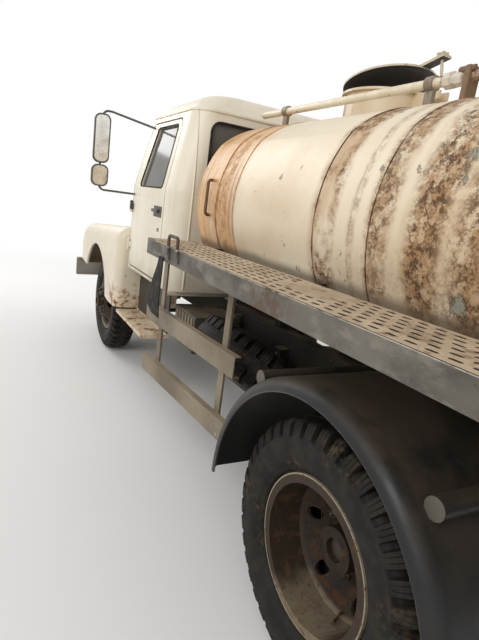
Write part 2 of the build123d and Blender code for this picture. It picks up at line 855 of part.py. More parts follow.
muffler_front_x = rear_axle_x + muffler_front_from_axle
muffler_rear_x = muffler_front_x - muffler_length
engine_rear_x = engine_x - engine_length / 2
exhaust_bend = exhaust_pipe_radius * 4
exhaust_turn_x = muffler_rear_x - exhaust_bend * 1.5
exhaust_down_y = -engine_width / 2 - exhaust_pipe_radius
with BuildPart() as exhaust:
    with BuildSketch(Plane.YZ.offset(muffler_rear_x)):
        with Locations((muffler_y, muffler_z)):
            Ellipse(muffler_radius * 1.3, muffler_radius)
    extrude(amount=muffler_length)
    with BuildLine(Plane.XY.offset(muffler_z)):
        tail_path = FilletPolyline(
            (muffler_rear_x + exhaust_bend, muffler_y),
            (exhaust_turn_x, muffler_y),
            (exhaust_turn_x, exhaust_outlet_y),
            radius=exhaust_bend,
        )
    with BuildSketch(Plane(origin=tail_path @ 0, z_dir=tail_path % 0)):
        Circle(exhaust_pipe_radius)
    sweep(path=tail_path)
    with BuildSketch(Plane.YZ.offset(muffler_front_x)):
        with Locations((muffler_y, muffler_z)):
            Circle(exhaust_pipe_radius)
    extrude(amount=engine_x - muffler_front_x)
    with BuildSketch(Plane.XY.offset(muffler_z)):
        with Locations((engine_x, muffler_y)):
            Circle(exhaust_pipe_radius)
    extrude(amount=engine_bottom_z + engine_height / 3 - muffler_z)
    with BuildSketch(Plane.XZ.offset(engine_width / 2)):
        with Locations((engine_x, engine_bottom_z + engine_height / 3)):
            Rectangle(engine_length / 2, exhaust_pipe_radius * 3)
    extrude(amount=exhaust_pipe_radius - muffler_y - engine_width / 2)
    with BuildSketch(Plane.XY.offset(muffler_z)):
        with Locations((rear_axle_x + crossmembers_from_rear_axle[0], muffler_y)):
            Rectangle(bracket_thickness, bracket_thickness)
    extrude(amount=crossmember_z - crossmember_height / 2 - muffler_z)
save(exhaust.part, "exhaust")

spare_x = rear_axle_x + spare_from_axle
spare_axis = Vector(0, -sin(radians(spare_tilt)), cos(radians(spare_tilt)))
spare_plane = Plane(origin=(spare_x, spare_y, spare_z), x_dir=(1, 0, 0), z_dir=spare_axis)
level_tyre = tyre_ring(0, 0, 0)
with BuildPart() as level_rim:
    with BuildSketch(wheel_plane(0, 0, 0)):
        rim_section(0, -1)
        ring_section(
            front_cap_radius, front_hub_radius, disc_thickness - dual_spacing / 2, -dual_spacing / 2
        )
    revolve(axis=Axis((0, 0, 0), (0, 1, 0)))
wheel_to_flat = Location((0, 0, 0), (1, 0, 0), 90)
save(spare_plane.location * wheel_to_flat * level_tyre, "spare_tyre")
save(spare_plane.location * wheel_to_flat * level_rim.part, "spare_rim")
spare_disc_drop = dual_spacing / 2 - disc_thickness
with BuildPart() as spare_carrier:
    with BuildSketch(spare_plane.offset(-spare_disc_drop)):
        Circle(front_hub_radius)
    extrude(amount=disc_thickness)
    with BuildSketch(spare_plane.offset(-spare_disc_drop)):
        Circle(spare_post_radius)
    extrude(amount=spare_disc_drop + spare_post_length)
    with BuildSketch(Plane.XZ.offset(-rail_outer_y)):
        with Locations((spare_x, rail_bottom_z + 1.5 * bracket_thickness)):
            Rectangle(2 * bracket_thickness, 2 * bracket_thickness)
    extrude(amount=-spare_bracket_reach)
save(spare_carrier.part, "spare_carrier")


# Cab: a hollow shell of wall thickness cab_wall, cut at the doors and the windows
def cab_form(inset, low_z):
    """The cab's closed outer form, drawn in by inset all round, from low_z up."""
    # Columns: height, setback at the back, setback at the front, half width, corner radius
    lower_rows = (
        (low_z, 0, 0, cab_half_width, cab_corner_radius),
        (cab_belt_z, 0, 0, cab_half_width, cab_corner_radius),
        (cab_drip_z, 0, windscreen_rake, cab_drip_half_width, cab_corner_radius),
    )
    roof_rows = (
        (cab_drip_z, 0, windscreen_rake, cab_drip_half_width, cab_corner_radius),
        (
            cab_roof_shoulder_z - inset / 2,
            roof_shoulder_back,
            windscreen_rake + roof_shoulder_front,
            cab_roof_shoulder_half_width,
            cab_corner_radius,
        ),
        (
            cab_roof_z - inset,
            roof_top_back,
            windscreen_rake + roof_top_front,
            cab_roof_half_width - roof_top_side,
            cab_corner_radius,
        ),
    )
    with BuildPart() as form:
        for low_row, high_row in zip(lower_rows, lower_rows[1:]):
            for z, back, front, half_width, corner in (low_row, high_row):
                with BuildSketch(Plane.XY.offset(z)):
                    with Locations(((cab_back_x + back + cab_front_x - front) / 2, 0)):
                        RectangleRounded(
                            cab_length - back - front - 2 * inset, 2 * (half_width - inset), corner - inset
                        )
            loft(ruled=True)
        for z, back, front, half_width, corner in roof_rows:
            with BuildSketch(Plane.XY.offset(z)):
                with Locations(((cab_back_x + back + cab_front_x - front) / 2, 0)):
                    RectangleRounded(
                        cab_length - back - front - 2 * inset, 2 * (half_width - inset), corner - inset
                    )
        loft()
    return form.part


door_front_x = cab_back_x + door_front_from_back
door_rear_x = cab_back_x + door_rear_from_back
pillar_slope = windscreen_rake / (cab_drip_z - cab_belt_z)
window_high_z = door_top_z - door_gap - door_window_margin / 2
glass_outer = cab_form(glass_inset, cab_belt_z - glass_thickness)
glass_inner = cab_form(glass_inset + glass_thickness, cab_belt_z - 2 * glass_thickness)
outer_form = cab_form(0, cab_sill_z)
inner_form = cab_form(cab_wall, cab_sill_z + floor_thickness)
outer_y = cab_half_width + cab_wall


def door_prism(rear, front, low_z, high_z, corner_radius):
    """A prism through the left wall whose front edge leans back with the windscreen."""
    lean_z = max(low_z, cab_belt_z)
    upper_front = front - pillar_slope * (high_z - lean_z)
    corners = [(rear, low_z), (front, low_z), (upper_front, high_z), (rear, high_z)]
    if low_z < cab_belt_z:
        corners.insert(2, (front, cab_belt_z))
    with BuildPart() as prism:
        with BuildSketch(Plane.XZ.offset(-outer_y)) as outline:
            Polygon(*corners, align=None)
            sharp = outline.vertices().filter_by(lambda corner: abs(corner.Y - cab_belt_z) > 1)
            fillet(sharp, radius=corner_radius)
        extrude(amount=outer_y - cab_drip_half_width / 2)
    return prism.part


door_opening = door_prism(door_rear_x, door_front_x, door_bottom_z, door_top_z, door_corner_radius)
door_panel = door_prism(
    door_rear_x + door_gap,
    door_front_x - door_gap,
    door_bottom_z + door_gap,
    door_top_z - door_gap,
    door_corner_radius - door_gap,
)
door_window = door_prism(
    door_rear_x + door_gap + door_window_margin,
    door_front_x - door_gap - door_window_front_margin,
    door_window_sill_z,
    window_high_z,
    window_corner_radius / 2,
)


def end_window_prism(x, length, half_width, low_z, high_z):
    """A window opening through the cab's front or back wall."""
    with BuildPart() as prism:
        with BuildSketch(Plane.YZ.offset(x)):
            with Locations((0, (low_z + high_z) / 2)):
                RectangleRounded(2 * half_width, high_z - low_z, window_corner_radius)
        extrude(amount=length)
    return prism.part


windscreen_prism = end_window_prism(
    cab_front_x - cab_length / 2, cab_length, windscreen_half_width, windscreen_low_z, windscreen_high_z
)
rear_window_prism = end_window_prism(
    cab_back_x - cab_wall, 3 * cab_wall, rear_window_half_width, rear_window_low_z, rear_window_high_z
)

nose_x = front_x - nose_from_front
hood_rear_x = cab_front_x + hood_gap
hood_hinge_x = hood_rear_x
hood_front_x = nose_x - grille_depth - hood_gap
hood_hinge_z = hood_rear_top_z + door_hinge_offset
hood_hinge_stations = (-hood_rear_half_width / 2, hood_rear_half_width / 2)
door_hinge_x = door_front_x - door_gap / 2
door_hinge_y = cab_half_width + door_hinge_offset
door_hinge_heights = (door_hinge_low_z, door_hinge_high_z)
drip_length = cab_length - windscreen_rake
with BuildPart() as cab_shell:
    add(outer_form)
    with BuildSketch(Plane.XY.offset(cab_drip_z - drip_rail_height / 2)):
        with Locations((cab_back_x + drip_length / 2, 0)):
            RectangleRounded(
                drip_length + 2 * drip_rail_depth,
                2 * (cab_drip_half_width + drip_rail_depth),
                cab_corner_radius + drip_rail_depth,
            )
    extrude(amount=drip_rail_height)
    add(inner_form, mode=Mode.SUBTRACT)
    add(door_opening, mode=Mode.SUBTRACT)
    add(mirror(door_opening, about=Plane.XZ), mode=Mode.SUBTRACT)
    add(windscreen_prism, mode=Mode.SUBTRACT)
    add(rear_window_prism, mode=Mode.SUBTRACT)
    with BuildSketch(Plane.XY.offset(rail_top_z)):
        with Locations(
            (cab_back_x + 2 * cab_mount_height, rail_centre_y),
            (cab_front_x - 2 * cab_mount_height, rail_centre_y),
            (cab_back_x + 2 * cab_mount_height, -rail_centre_y),
            (cab_front_x - 2 * cab_mount_height, -rail_centre_y),
        ):
            Rectangle(rail_flange, rail_flange)
    extrude(amount=cab_mount_height)
    for hinge_z in door_hinge_heights:
        for side in (1, -1):
            for piece_z in (hinge_z - door_hinge_length * 0.75, hinge_z + door_hinge_length * 0.75):
                with BuildSketch(Plane.XY.offset(piece_z - door_hinge_length / 4)):
                    with Locations((door_hinge_x, side * door_hinge_y)):
                        Circle(door_hinge_radius)
                    with Locations((door_hinge_x + 20, side * (cab_half_width + door_hinge_radius / 2 - 4))):
                        Rectangle(40, door_hinge_radius + 8)
                extrude(amount=door_hinge_length / 2)
            with BuildSketch(Plane.XY.offset(hinge_z - door_hinge_length / 2)):
                with Locations((door_hinge_x, side * door_hinge_y)):
                    Circle(door_hinge_pin_radius)
            extrude(amount=door_hinge_length)
    for hinge_y in hood_hinge_stations:
        for piece_y in (hinge_y - door_hinge_length * 0.75, hinge_y + door_hinge_length * 0.75):
            with BuildSketch(Plane.XZ.offset(-piece_y - door_hinge_length / 4)):
                with Locations((hood_hinge_x, hood_hinge_z)):
                    Circle(door_hinge_radius)
                with Locations((hood_hinge_x - hood_gap, hood_hinge_z)):
                    Rectangle(2 * hood_gap, door_hinge_radius)
            extrude(amount=door_hinge_length / 2)
        with BuildSketch(Plane.XZ.offset(-hinge_y - door_hinge_length / 2)):
            with Locations((hood_hinge_x, hood_hinge_z)):
                Circle(door_hinge_pin_radius)
        extrude(amount=door_hinge_length)
save(cab_shell.part, "cab_shell")
end_windows = windscreen_prism + rear_window_prism
with BuildPart() as cab_glass:
    add(glass_outer)
    add(glass_inner, mode=Mode.SUBTRACT)
    add(end_windows, mode=Mode.INTERSECT)
save(cab_glass.part, "cab_glass")

with BuildPart() as door:
    add(outer_form)
    add(inner_form, mode=Mode.SUBTRACT)
    add(door_panel, mode=Mode.INTERSECT)
    add(door_window, mode=Mode.SUBTRACT)
    for hinge_z in door_hinge_heights:
        with BuildSketch(Plane.XY.offset(hinge_z - door_hinge_length / 2 + 1)):
            with Locations((door_hinge_x, door_hinge_y)):
                Circle(door_hinge_radius)
            with Locations((door_hinge_x - 20, cab_half_width + door_hinge_radius / 2 - 1)):
                Rectangle(40, door_hinge_radius + 2)
            with Locations((door_hinge_x, door_hinge_y)):
                Circle(door_hinge_pin_radius + running_clearance, mode=Mode.SUBTRACT)
        extrude(amount=door_hinge_length - 2)
    with BuildSketch(Plane.XZ.offset(-cab_half_width)):
        with Locations((door_rear_x + door_gap + door_handle_length, door_handle_z)):
            SlotOverall(door_handle_length, 22)
    extrude(amount=-26)
save(door.part, "door_left")
save(mirror(door.part, about=Plane.XZ), "door_right")
with BuildPart() as door_glass:
    add(glass_outer)
    add(glass_inner, mode=Mode.SUBTRACT)
    add(door_window, mode=Mode.INTERSECT)
save(door_glass.part, "door_left_glass")
save(mirror(door_glass.part, about=Plane.XZ), "door_right_glass")

# Cab inside: seat, dashboard and steering wheel
floor_z = cab_sill_z + floor_thickness
seat_x = cab_back_x + cab_wall + seat_setback
with BuildPart() as seat:
    with BuildSketch(Plane.XY.offset(floor_z)):
        with Locations((seat_x + seat_depth / 2, 0)):
            RectangleRounded(seat_depth * 0.8, 2 * seat_half_width * 0.94, 30)
    extrude(amount=seat_base_height)
    with BuildSketch(Plane.XY.offset(floor_z + seat_base_height)):
        with Locations((seat_x + seat_depth / 2, 0)):
            RectangleRounded(seat_depth, 2 * seat_half_width, 60)
    extrude(amount=seat_cushion_height)
    with BuildSketch(Plane.XZ.offset(-seat_half_width)):
        with Locations((seat_x + seat_back_depth / 2, floor_z + seat_base_height + seat_back_height / 2)):
            RectangleRounded(seat_back_depth, seat_back_height, seat_back_depth / 3)
    extrude(amount=2 * seat_half_width)
save(seat.part, "seat_bench")

dash_front_x = cab_front_x - cab_wall
dash_half_width = cab_half_width - cab_corner_radius
with BuildPart() as dashboard:
    with BuildSketch(Plane.XZ.offset(-dash_half_width)):
        with BuildLine():
            Polyline(
                (dash_front_x, dash_top_z),
                (dash_front_x, dash_top_z - dash_height * 1.3),
                (dash_front_x - dash_depth * 0.7, dash_top_z - dash_height),
                (dash_front_x - dash_depth, dash_top_z - dash_height * 0.3),
                (dash_front_x - dash_depth * 0.85, dash_top_z),
                close=True,
            )
        make_face()
    extrude(amount=2 * dash_half_width)
    column_start = Vector(dash_front_x - dash_depth * 0.5, steering_wheel_y, dash_top_z - dash_height * 0.6)
    column_lean = radians(steering_wheel_tilt)
    column_axis = Vector(-cos(column_lean), 0, sin(column_lean))
    wheel_centre = column_start + column_axis * (dash_depth / 2 + steering_wheel_from_dash)
    with BuildSketch(Plane(origin=column_start, z_dir=column_axis)):
        Circle(2 * steering_wheel_rim)
    extrude(amount=dash_depth / 2 + steering_wheel_from_dash)
save(dashboard.part, "dashboard")

wheel_frame = Plane(origin=wheel_centre, x_dir=(0, 1, 0), z_dir=column_axis)
with BuildPart() as level_steering_wheel:
    with BuildSketch(Plane.XZ):
        with Locations((steering_wheel_radius, steering_wheel_rim)):
            Circle(steering_wheel_rim)
    revolve(axis=Axis.Z)
    with BuildSketch(Plane.XY):
        Circle(3 * steering_wheel_rim)
        with PolarLocations(steering_wheel_radius / 2, 3):
            Rectangle(steering_wheel_radius, 1.6 * steering_wheel_rim)
    extrude(amount=steering_wheel_rim)
save(wheel_frame.location * level_steering_wheel.part, "steering_wheel")

# Steps below the doors, each a tread plate on an apron that hangs from the cab's sill
step_rear_x = cab_back_x + step_rear_from_back
step_apron_y = step_outer_y - step_width
with BuildPart() as steps:
    with BuildSketch(Plane.YZ.offset(step_rear_x)):
        with BuildLine():
            Polyline(
                (step_outer_y, step_z),
                (step_outer_y, step_z - step_thickness),
                (step_apron_y - apron_wall, step_z - step_thickness),
                (step_apron_y - apron_wall, cab_sill_z),
                (step_apron_y, cab_sill_z),
                (step_apron_y, step_z),
                close=True,
            )
        make_face()
    extrude(amount=step_length)
    mirror(about=Plane.XZ)
save(steps.part, "steps")

# Mirrors on one bent tube each, its two feet on the door so that they swing with it
mirror_mast_x = cab_back_x + mirror_mast_from_back
mirror_foot_x = cab_back_x + mirror_foot_high_from_back
foot_lean = (cab_half_width - cab_drip_half_width) / (cab_drip_z - cab_belt_z)
mirror_foot_y = cab_half_width - foot_lean * (mirror_foot_high_z - cab_belt_z) - mirror_arm_radius
arm_turn_point = (mirror_mast_x, mirror_mast_y - mirror_arm_turn, mirror_arm_top_z)
with BuildPart() as mirrors:
    for low_z, high_z, width in (
        (mirror_low_z, mirror_high_z, mirror_width),
        (small_mirror_low_z, small_mirror_high_z, small_mirror_width),
    ):
        with BuildSketch(Plane.YZ.offset(mirror_mast_x - mirror_depth)):
            with Locations((mirror_mast_y, (low_z + high_z) / 2)):
                RectangleRounded(width, high_z - low_z, mirror_corner_radius)
        extrude(amount=mirror_depth)
    add(
        bent_bar(
            Plane.YZ.offset(mirror_mast_x),
            (
                (cab_half_width, mirror_foot_low_z),
                (mirror_mast_y, mirror_foot_low_z),
                (mirror_mast_y, mirror_arm_top_z),
                (mirror_mast_y - mirror_arm_turn, mirror_arm_top_z),
            ),
            mirror_arm_bend,
            mirror_arm_radius,
        )
    )
    add(round_bar(arm_turn_point, (mirror_foot_x, mirror_foot_y, mirror_foot_high_z), mirror_arm_radius))
    with Locations(arm_turn_point):
        Sphere(mirror_arm_radius)
    add(door.part, mode=Mode.SUBTRACT)
save(mirrors.part, "mirrors_left")
save(mirror(mirrors.part, about=Plane.XZ), "mirrors_right")

# Bonnet: an arched panel hinged along its rear edge, in front of the cab


def hood_form(inset, rear_x_station, front_x_station):
    """The bonnet's arched form, drawn in by inset, open below its lower edges."""
    # Columns: station, half width, top height, bottom height
    rows = (
        (rear_x_station, hood_rear_half_width, hood_rear_top_z, hood_rear_bottom_z),
        (front_x_station, hood_front_half_width, hood_front_top_z, hood_front_bottom_z),
    )
    with BuildPart() as form:
        for station, half_width, top_z, bottom_z in rows:
            side_y = half_width - inset
            roof_z = top_z - inset
            shoulder = hood_shoulder_radius - inset
            base_z = bottom_z - 2 * inset
            turn = shoulder * (1 - cos(radians(45)))
            with BuildSketch(Plane.YZ.offset(station)):
                with BuildLine():
                    Line((-side_y, base_z), (side_y, base_z))
                    Line((side_y, base_z), (side_y, roof_z - shoulder))
                    ThreePointArc(
                        (side_y, roof_z - shoulder),
                        (side_y - turn, roof_z - turn),
                        (side_y - shoulder, roof_z),
                    )
                    Line((side_y - shoulder, roof_z), (shoulder - side_y, roof_z))
                    ThreePointArc(
                        (shoulder - side_y, roof_z),
                        (turn - side_y, roof_z - turn),
                        (-side_y, roof_z - shoulder),
                    )
                    Line((-side_y, roof_z - shoulder), (-side_y, base_z))
                make_face()
        loft(ruled=True)
    return form.part


with BuildPart() as hood:
    add(hood_form(0, hood_rear_x, hood_front_x))
    add(hood_form(hood_wall, hood_rear_x, hood_front_x), mode=Mode.SUBTRACT)
    for hinge_y in hood_hinge_stations:
        with BuildSketch(Plane.XZ.offset(-(hinge_y + door_hinge_length / 2 - 1))):
            with Locations((hood_hinge_x, hood_hinge_z)):
                Circle(door_hinge_radius)
            with Locations((hood_hinge_x + 20, hood_rear_top_z)):
                Rectangle(40, door_hinge_offset)
            with Locations((hood_hinge_x, hood_hinge_z)):
                Circle(door_hinge_pin_radius + running_clearance, mode=Mode.SUBTRACT)
        extrude(amount=door_hinge_length - 2)
save(hood.part, "hood")

# Front wings with open wheel arches, and the apron that closes each one beside the engine
fender_rear_x = cab_front_x


def fender_form(inset):
    """The left wing's closed form, drawn in by inset at the top, the nose and the outer side."""
    top_rear_z = fender_rear_top_z - inset
    top_front_z = fender_front_top_z - inset
    nose_front = nose_x - inset
    edge_radius = fender_edge_radius - inset
    nose_start = nose_x - fender_nose_radius
    nose_turn = (fender_nose_radius - inset) * (1 - cos(radians(45)))
    with BuildPart() as form:
        with BuildSketch(Plane.XZ.offset(-(fender_outer_y - inset))):
            with BuildLine():
                Polyline(
                    (nose_front, fender_front_bottom_z),
                    (front_axle_x + front_arch_reach, fender_front_bottom_z - fender_wall),
                    (front_axle_x - front_arch_reach, fender_rear_bottom_z),
                    (fender_rear_x + inset, fender_rear_bottom_z),
                    (fender_rear_x + inset, top_rear_z),
                    (nose_start, top_front_z),
                )
                ThreePointArc(
                    (nose_start, top_front_z),
                    (nose_front - nose_turn, top_front_z - nose_turn),
                    (nose_front, fender_front_top_z - fender_nose_radius),
                )
                Line(
                    (nose_front, fender_front_top_z - fender_nose_radius),
                    (nose_front, fender_front_bottom_z),
                )
            make_face()
        extrude(amount=fender_outer_y - inset - fender_inner_y)
        outer_edges = form.edges().filter_by(
            lambda edge: abs(edge.center().Y - (fender_outer_y - inset)) < 1 and edge.center().Z > headlamp_z
        )
        fillet(outer_edges, radius=edge_radius)
        rear_corner = form.edges().filter_by(Axis.Z).filter_by(
            lambda edge: abs(edge.center().Y - (fender_outer_y - inset)) < 1
            and abs(edge.center().X - (fender_rear_x + inset)) < 1
        )
        fillet(rear_corner, radius=fender_corner_radius - inset)
    return form.part


with BuildPart() as fender:
    add(fender_form(0))
    with BuildPart(mode=Mode.PRIVATE) as fender_hollow:
        add(fender_form(fender_wall))
        with BuildSketch(Plane.XZ.offset(-(fender_outer_y - fender_wall))):
            with Locations((front_axle_x + fender_wall, fender_rear_bottom_z)):
                Rectangle(2 * (front_axle_x - fender_rear_x), 2 * fender_wall)
        extrude(amount=fender_outer_y - fender_wall - fender_inner_y)
    add(fender_hollow.part, mode=Mode.SUBTRACT)
    with BuildSketch(Plane.XZ.offset(-2 * fender_outer_y)):
        with Locations((front_axle_x + front_arch_lead, axle_z + front_arch_rise)):
            Circle(front_arch_radius)
    extrude(amount=2 * fender_outer_y - fender_inner_y, mode=Mode.SUBTRACT)
    mirror(about=Plane.XZ)
save(fender.part, "front_wings")

# Grille between the wings, headlamps in their noses, and the front bumper
grille_half_width = fender_inner_y - hood_gap
grille_height = hood_front_top_z - grille_bottom_z
grille_middle_z = grille_bottom_z + grille_height / 2
bar_pitch = (grille_height - 2 * grille_frame) / (grille_bar_count + 1)
with BuildPart() as grille:
    with BuildSketch(Plane.YZ.offset(nose_x - grille_depth)):
        with Locations((0, grille_middle_z)):
            RectangleRounded(2 * grille_half_width, grille_height, 2 * grille_frame)
            RectangleRounded(
                2 * (grille_half_width - grille_frame),
                grille_height - 2 * grille_frame,
                grille_frame,
                mode=Mode.SUBTRACT,
            )
            with GridLocations(0, bar_pitch, 1, grille_bar_count):
                Rectangle(2 * grille_half_width - grille_frame, grille_bar_height)
    extrude(amount=grille_depth)
    for side in (1, -1):
        with BuildSketch(Plane.YZ.offset(nose_x - grille_depth)):
            with Locations((side * (grille_half_width + hood_gap / 2), grille_bottom_z + grille_frame * 2)):
                Rectangle(hood_gap, grille_frame)
        extrude(amount=grille_depth)
save(grille.part, "grille")

lens_rise = headlamp_depth / 2
with BuildPart() as headlamps:
    with BuildSketch(Plane.XY.offset(headlamp_z)):
        with BuildLine():
            Polyline(
                (nose_x + headlamp_depth, headlamp_y),
                (nose_x, headlamp_y),
                (nose_x, headlamp_y + headlamp_radius),
                (nose_x + headlamp_depth - lens_rise, headlamp_y + headlamp_radius),
            )
            ThreePointArc(
                (nose_x + headlamp_depth - lens_rise, headlamp_y + headlamp_radius),
                (
                    nose_x + headlamp_depth - lens_rise
                    + cap_rise(headlamp_radius, lens_rise, headlamp_radius / 2),
                    headlamp_y + headlamp_radius / 2,
                ),
                (nose_x + headlamp_depth, headlamp_y),
            )
        make_face()
    revolve(axis=Axis((nose_x, headlamp_y, headlamp_z), (1, 0, 0)))
    mirror(about=Plane.XZ)
save(headlamps.part, "headlamps")


def bumper_slab(front_setback, depth, half_width, low_z, high_z):
    """A level slab swept back towards its ends, set back from the truck's front."""
    front_face_x = front_x - front_setback
    with BuildPart() as slab:
        with BuildSketch(Plane.XY.offset(low_z)):
            with BuildLine():
                ThreePointArc(
                    (front_face_x - bumper_sweep, -half_width),
                    (front_face_x, 0),
                    (front_face_x - bumper_sweep, half_width),
                )
                Line(
                    (front_face_x - bumper_sweep, half_width),
                    (front_face_x - bumper_sweep - depth, half_width),
                )
                ThreePointArc(
                    (front_face_x - bumper_sweep - depth, half_width),
                    (front_face_x - depth, 0),
                    (front_face_x - bumper_sweep - depth, -half_width),
                )
                Line(
                    (front_face_x - bumper_sweep - depth, -half_width),
                    (front_face_x - bumper_sweep, -half_width),
                )
            make_face()
        extrude(amount=high_z - low_z)
    return slab.part


with BuildPart() as front_bumper:
    add(bumper_slab(0, bumper_depth, bumper_half_width, bumper_low_z, bumper_high_z))
    add(
        bumper_slab(
            bumper_wall,
            2 * bumper_depth,
            bumper_half_width + bumper_wall,
            bumper_low_z + bumper_wall,
            bumper_high_z - bumper_wall,
        ),
        mode=Mode.SUBTRACT,
    )
    bracket_sag = bumper_sweep * (rail_outer_y / bumper_half_width) ** 2
    for side in (1, -1):
        with BuildSketch(Plane.YZ.offset(rail_front_x)):
            with Locations((side * rail_centre_y, (bumper_low_z + bumper_high_z) / 2)):
                Rectangle(rail_flange, bumper_high_z - bumper_low_z - 4 * bumper_wall)
        extrude(amount=front_x - rail_front_x - bracket_sag - bumper_wall / 2)
save(front_bumper.part, "front_bumper")


# Tank: one closed drum of superelliptic section with dished heads, carried on three saddles
def tank_point(half_width, half_height, angle):
    """A point of the tank's superellipse at a parameter angle in degrees."""
    across = cos(radians(angle))
    up = sin(radians(angle))
    power = 2 / tank_roundness
    return (
        half_width * abs(across) ** power * (1 if across > 0 else -1),
        tank_centre_z + half_height * abs(up) ** power * (1 if up > 0 else -1),
    )


def tank_face(half_width, half_height):
    """Draws the tank's section as eight arcs through points of its superellipse."""
    # Columns: parameter angles of the arc's start, middle and end
    quarter_arcs = ((-33, 0, 33), (33, 45, 57), (57, 90, 123), (123, 135, 147))
    points = []
    for turn in (0, 180):
        for start, middle, end in quarter_arcs:
            angles = (start + turn, middle + turn, end + turn)
            points.append([tank_point(half_width, half_height, angle) for angle in angles])
    with BuildLine() as outline:
        for start, middle, end in points:
            ThreePointArc(start, middle, end)
    return outline.line


def tank_slice(x, length, margin):
    """A prism of the tank's section, grown by margin."""
    with BuildPart() as prism:
        with BuildSketch(Plane.YZ.offset(x)):
            make_face(tank_face(tank_half_width + margin, tank_half_height + margin))
        extrude(amount=length)
    return prism.part


# Columns: share of the head's depth, share of the section's size
head_rows = ((0, 1), (0.42, 0.955), (0.8, 0.8), (1, 0.45))
tank_length = tank_front_x - tank_rear_x
with BuildPart() as tank_shell:
    add(tank_slice(tank_rear_x, tank_length, 0))
    for base_x, direction in ((tank_front_x, 1), (tank_rear_x, -1)):
        for depth_share, size_share in head_rows:
            with BuildSketch(Plane.YZ.offset(base_x + direction * tank_head_depth * depth_share)):
                make_face(tank_face(tank_half_width * size_share, tank_half_height * size_share))
        loft()
    for station in tank_seam_stations_from_axle:
        add(tank_slice(rear_axle_x + station - tank_seam_width / 2, tank_seam_width, tank_seam_height))
    for side in (1, -1):
        add(
            bent_bar(
                Plane.YZ.offset(rear_axle_x + tank_handle_from_axle),
                (
                    (side * (tank_half_width - tank_handle_bend), tank_handle_low_z),
                    (side * tank_handle_y, tank_handle_low_z),
                    (side * tank_handle_y, tank_handle_high_z),
                    (side * (tank_half_width - tank_handle_bend), tank_handle_high_z),
                ),
                tank_handle_bend,
                tank_handle_radius,
            )
        )
save(tank_shell.part, "tank_shell")

tank_core = tank_slice(tank_rear_x, tank_length, 0)
with BuildPart() as saddles:
    for station in saddle_stations_from_axle:
        with BuildSketch(Plane.YZ.offset(rear_axle_x + station - saddle_thickness / 2)):
            with BuildLine():
                Polyline(
                    (-rail_outer_y, rail_top_z),
                    (rail_outer_y, rail_top_z),
                    (saddle_half_width, tank_centre_z - tank_half_height / 2),
                    (-saddle_half_width, tank_centre_z - tank_half_height / 2),
                    close=True,
                )
            make_face()
        extrude(amount=saddle_thickness)
    add(tank_core, mode=Mode.SUBTRACT)
save(saddles.part, "tank_saddles")

# Manhole: a neck welded to the tank's top, and its dished lid on a strap hinged at the front
with BuildPart() as manhole_neck:
    with BuildSketch(Plane.XY.offset(tank_centre_z)):
        with Locations((manhole_x, 0)):
            Circle(manhole_radius)
            Circle(manhole_radius - manhole_wall, mode=Mode.SUBTRACT)
    extrude(amount=manhole_top_z - tank_centre_z)
    with BuildSketch(Plane.XY.offset(manhole_top_z - manhole_flange_thickness)):
        with Locations((manhole_x, 0)):
            Circle(manhole_radius + manhole_flange)
            Circle(manhole_radius - manhole_wall, mode=Mode.SUBTRACT)
    extrude(amount=manhole_flange_thickness)
    add(tank_shell.part, mode=Mode.SUBTRACT)
    lid_hinge_x = manhole_x + manhole_radius + manhole_flange + lid_hinge_reach
    lid_hinge_z = manhole_top_z + lid_thickness / 2
    lug_root_x = manhole_x + manhole_radius + manhole_flange / 2
    for side in (1, -1):
        lug_y = side * (lid_hinge_width / 2 + lid_hinge_lug / 2 + 1)
        with BuildSketch(Plane.XZ.offset(-(lug_y + lid_hinge_lug / 2))):
            with BuildLine():
                Polyline(
                    (lug_root_x, manhole_top_z - manhole_flange_thickness),
                    (lug_root_x, manhole_top_z - 4 * manhole_flange_thickness),
                    (lid_hinge_x + lid_hinge_radius, lid_hinge_z),
                    (lid_hinge_x, lid_hinge_z + lid_hinge_radius),
                    (lid_hinge_x - lid_hinge_radius, lid_hinge_z),
                    (lid_hinge_x - 2 * lid_hinge_radius, manhole_top_z - manhole_flange_thickness),
                    close=True,
                )
            make_face()
        extrude(amount=lid_hinge_lug)
        fork_y = side * (lid_fork_gap + lid_hinge_lug) / 2
        fork_end_x = manhole_x - manhole_radius - lid_fork_reach
        with BuildSketch(Plane.XZ.offset(-(fork_y + lid_hinge_lug / 2))):
            with BuildLine():
                Polyline(
                    (manhole_x - manhole_radius + manhole_wall / 2, manhole_top_z - manhole_flange_thickness),
                    (manhole_x - manhole_radius + manhole_wall / 2, manhole_top_z - 2 * lid_fork_height),
                    (fork_end_x, manhole_top_z - lid_fork_height),
                    (fork_end_x, manhole_top_z - manhole_flange_thickness),
                    close=True,
                )
            make_face()
        extrude(amount=lid_hinge_lug)
    with BuildSketch(Plane.XZ.offset(-(lid_hinge_width / 2 + lid_hinge_lug + 2))):
        with Locations((lid_hinge_x, lid_hinge_z)):
            Circle(lid_hinge_pin_radius)
    extrude(amount=lid_hinge_width + 2 * lid_hinge_lug + 4)
save(manhole_neck.part, "manhole_neck")

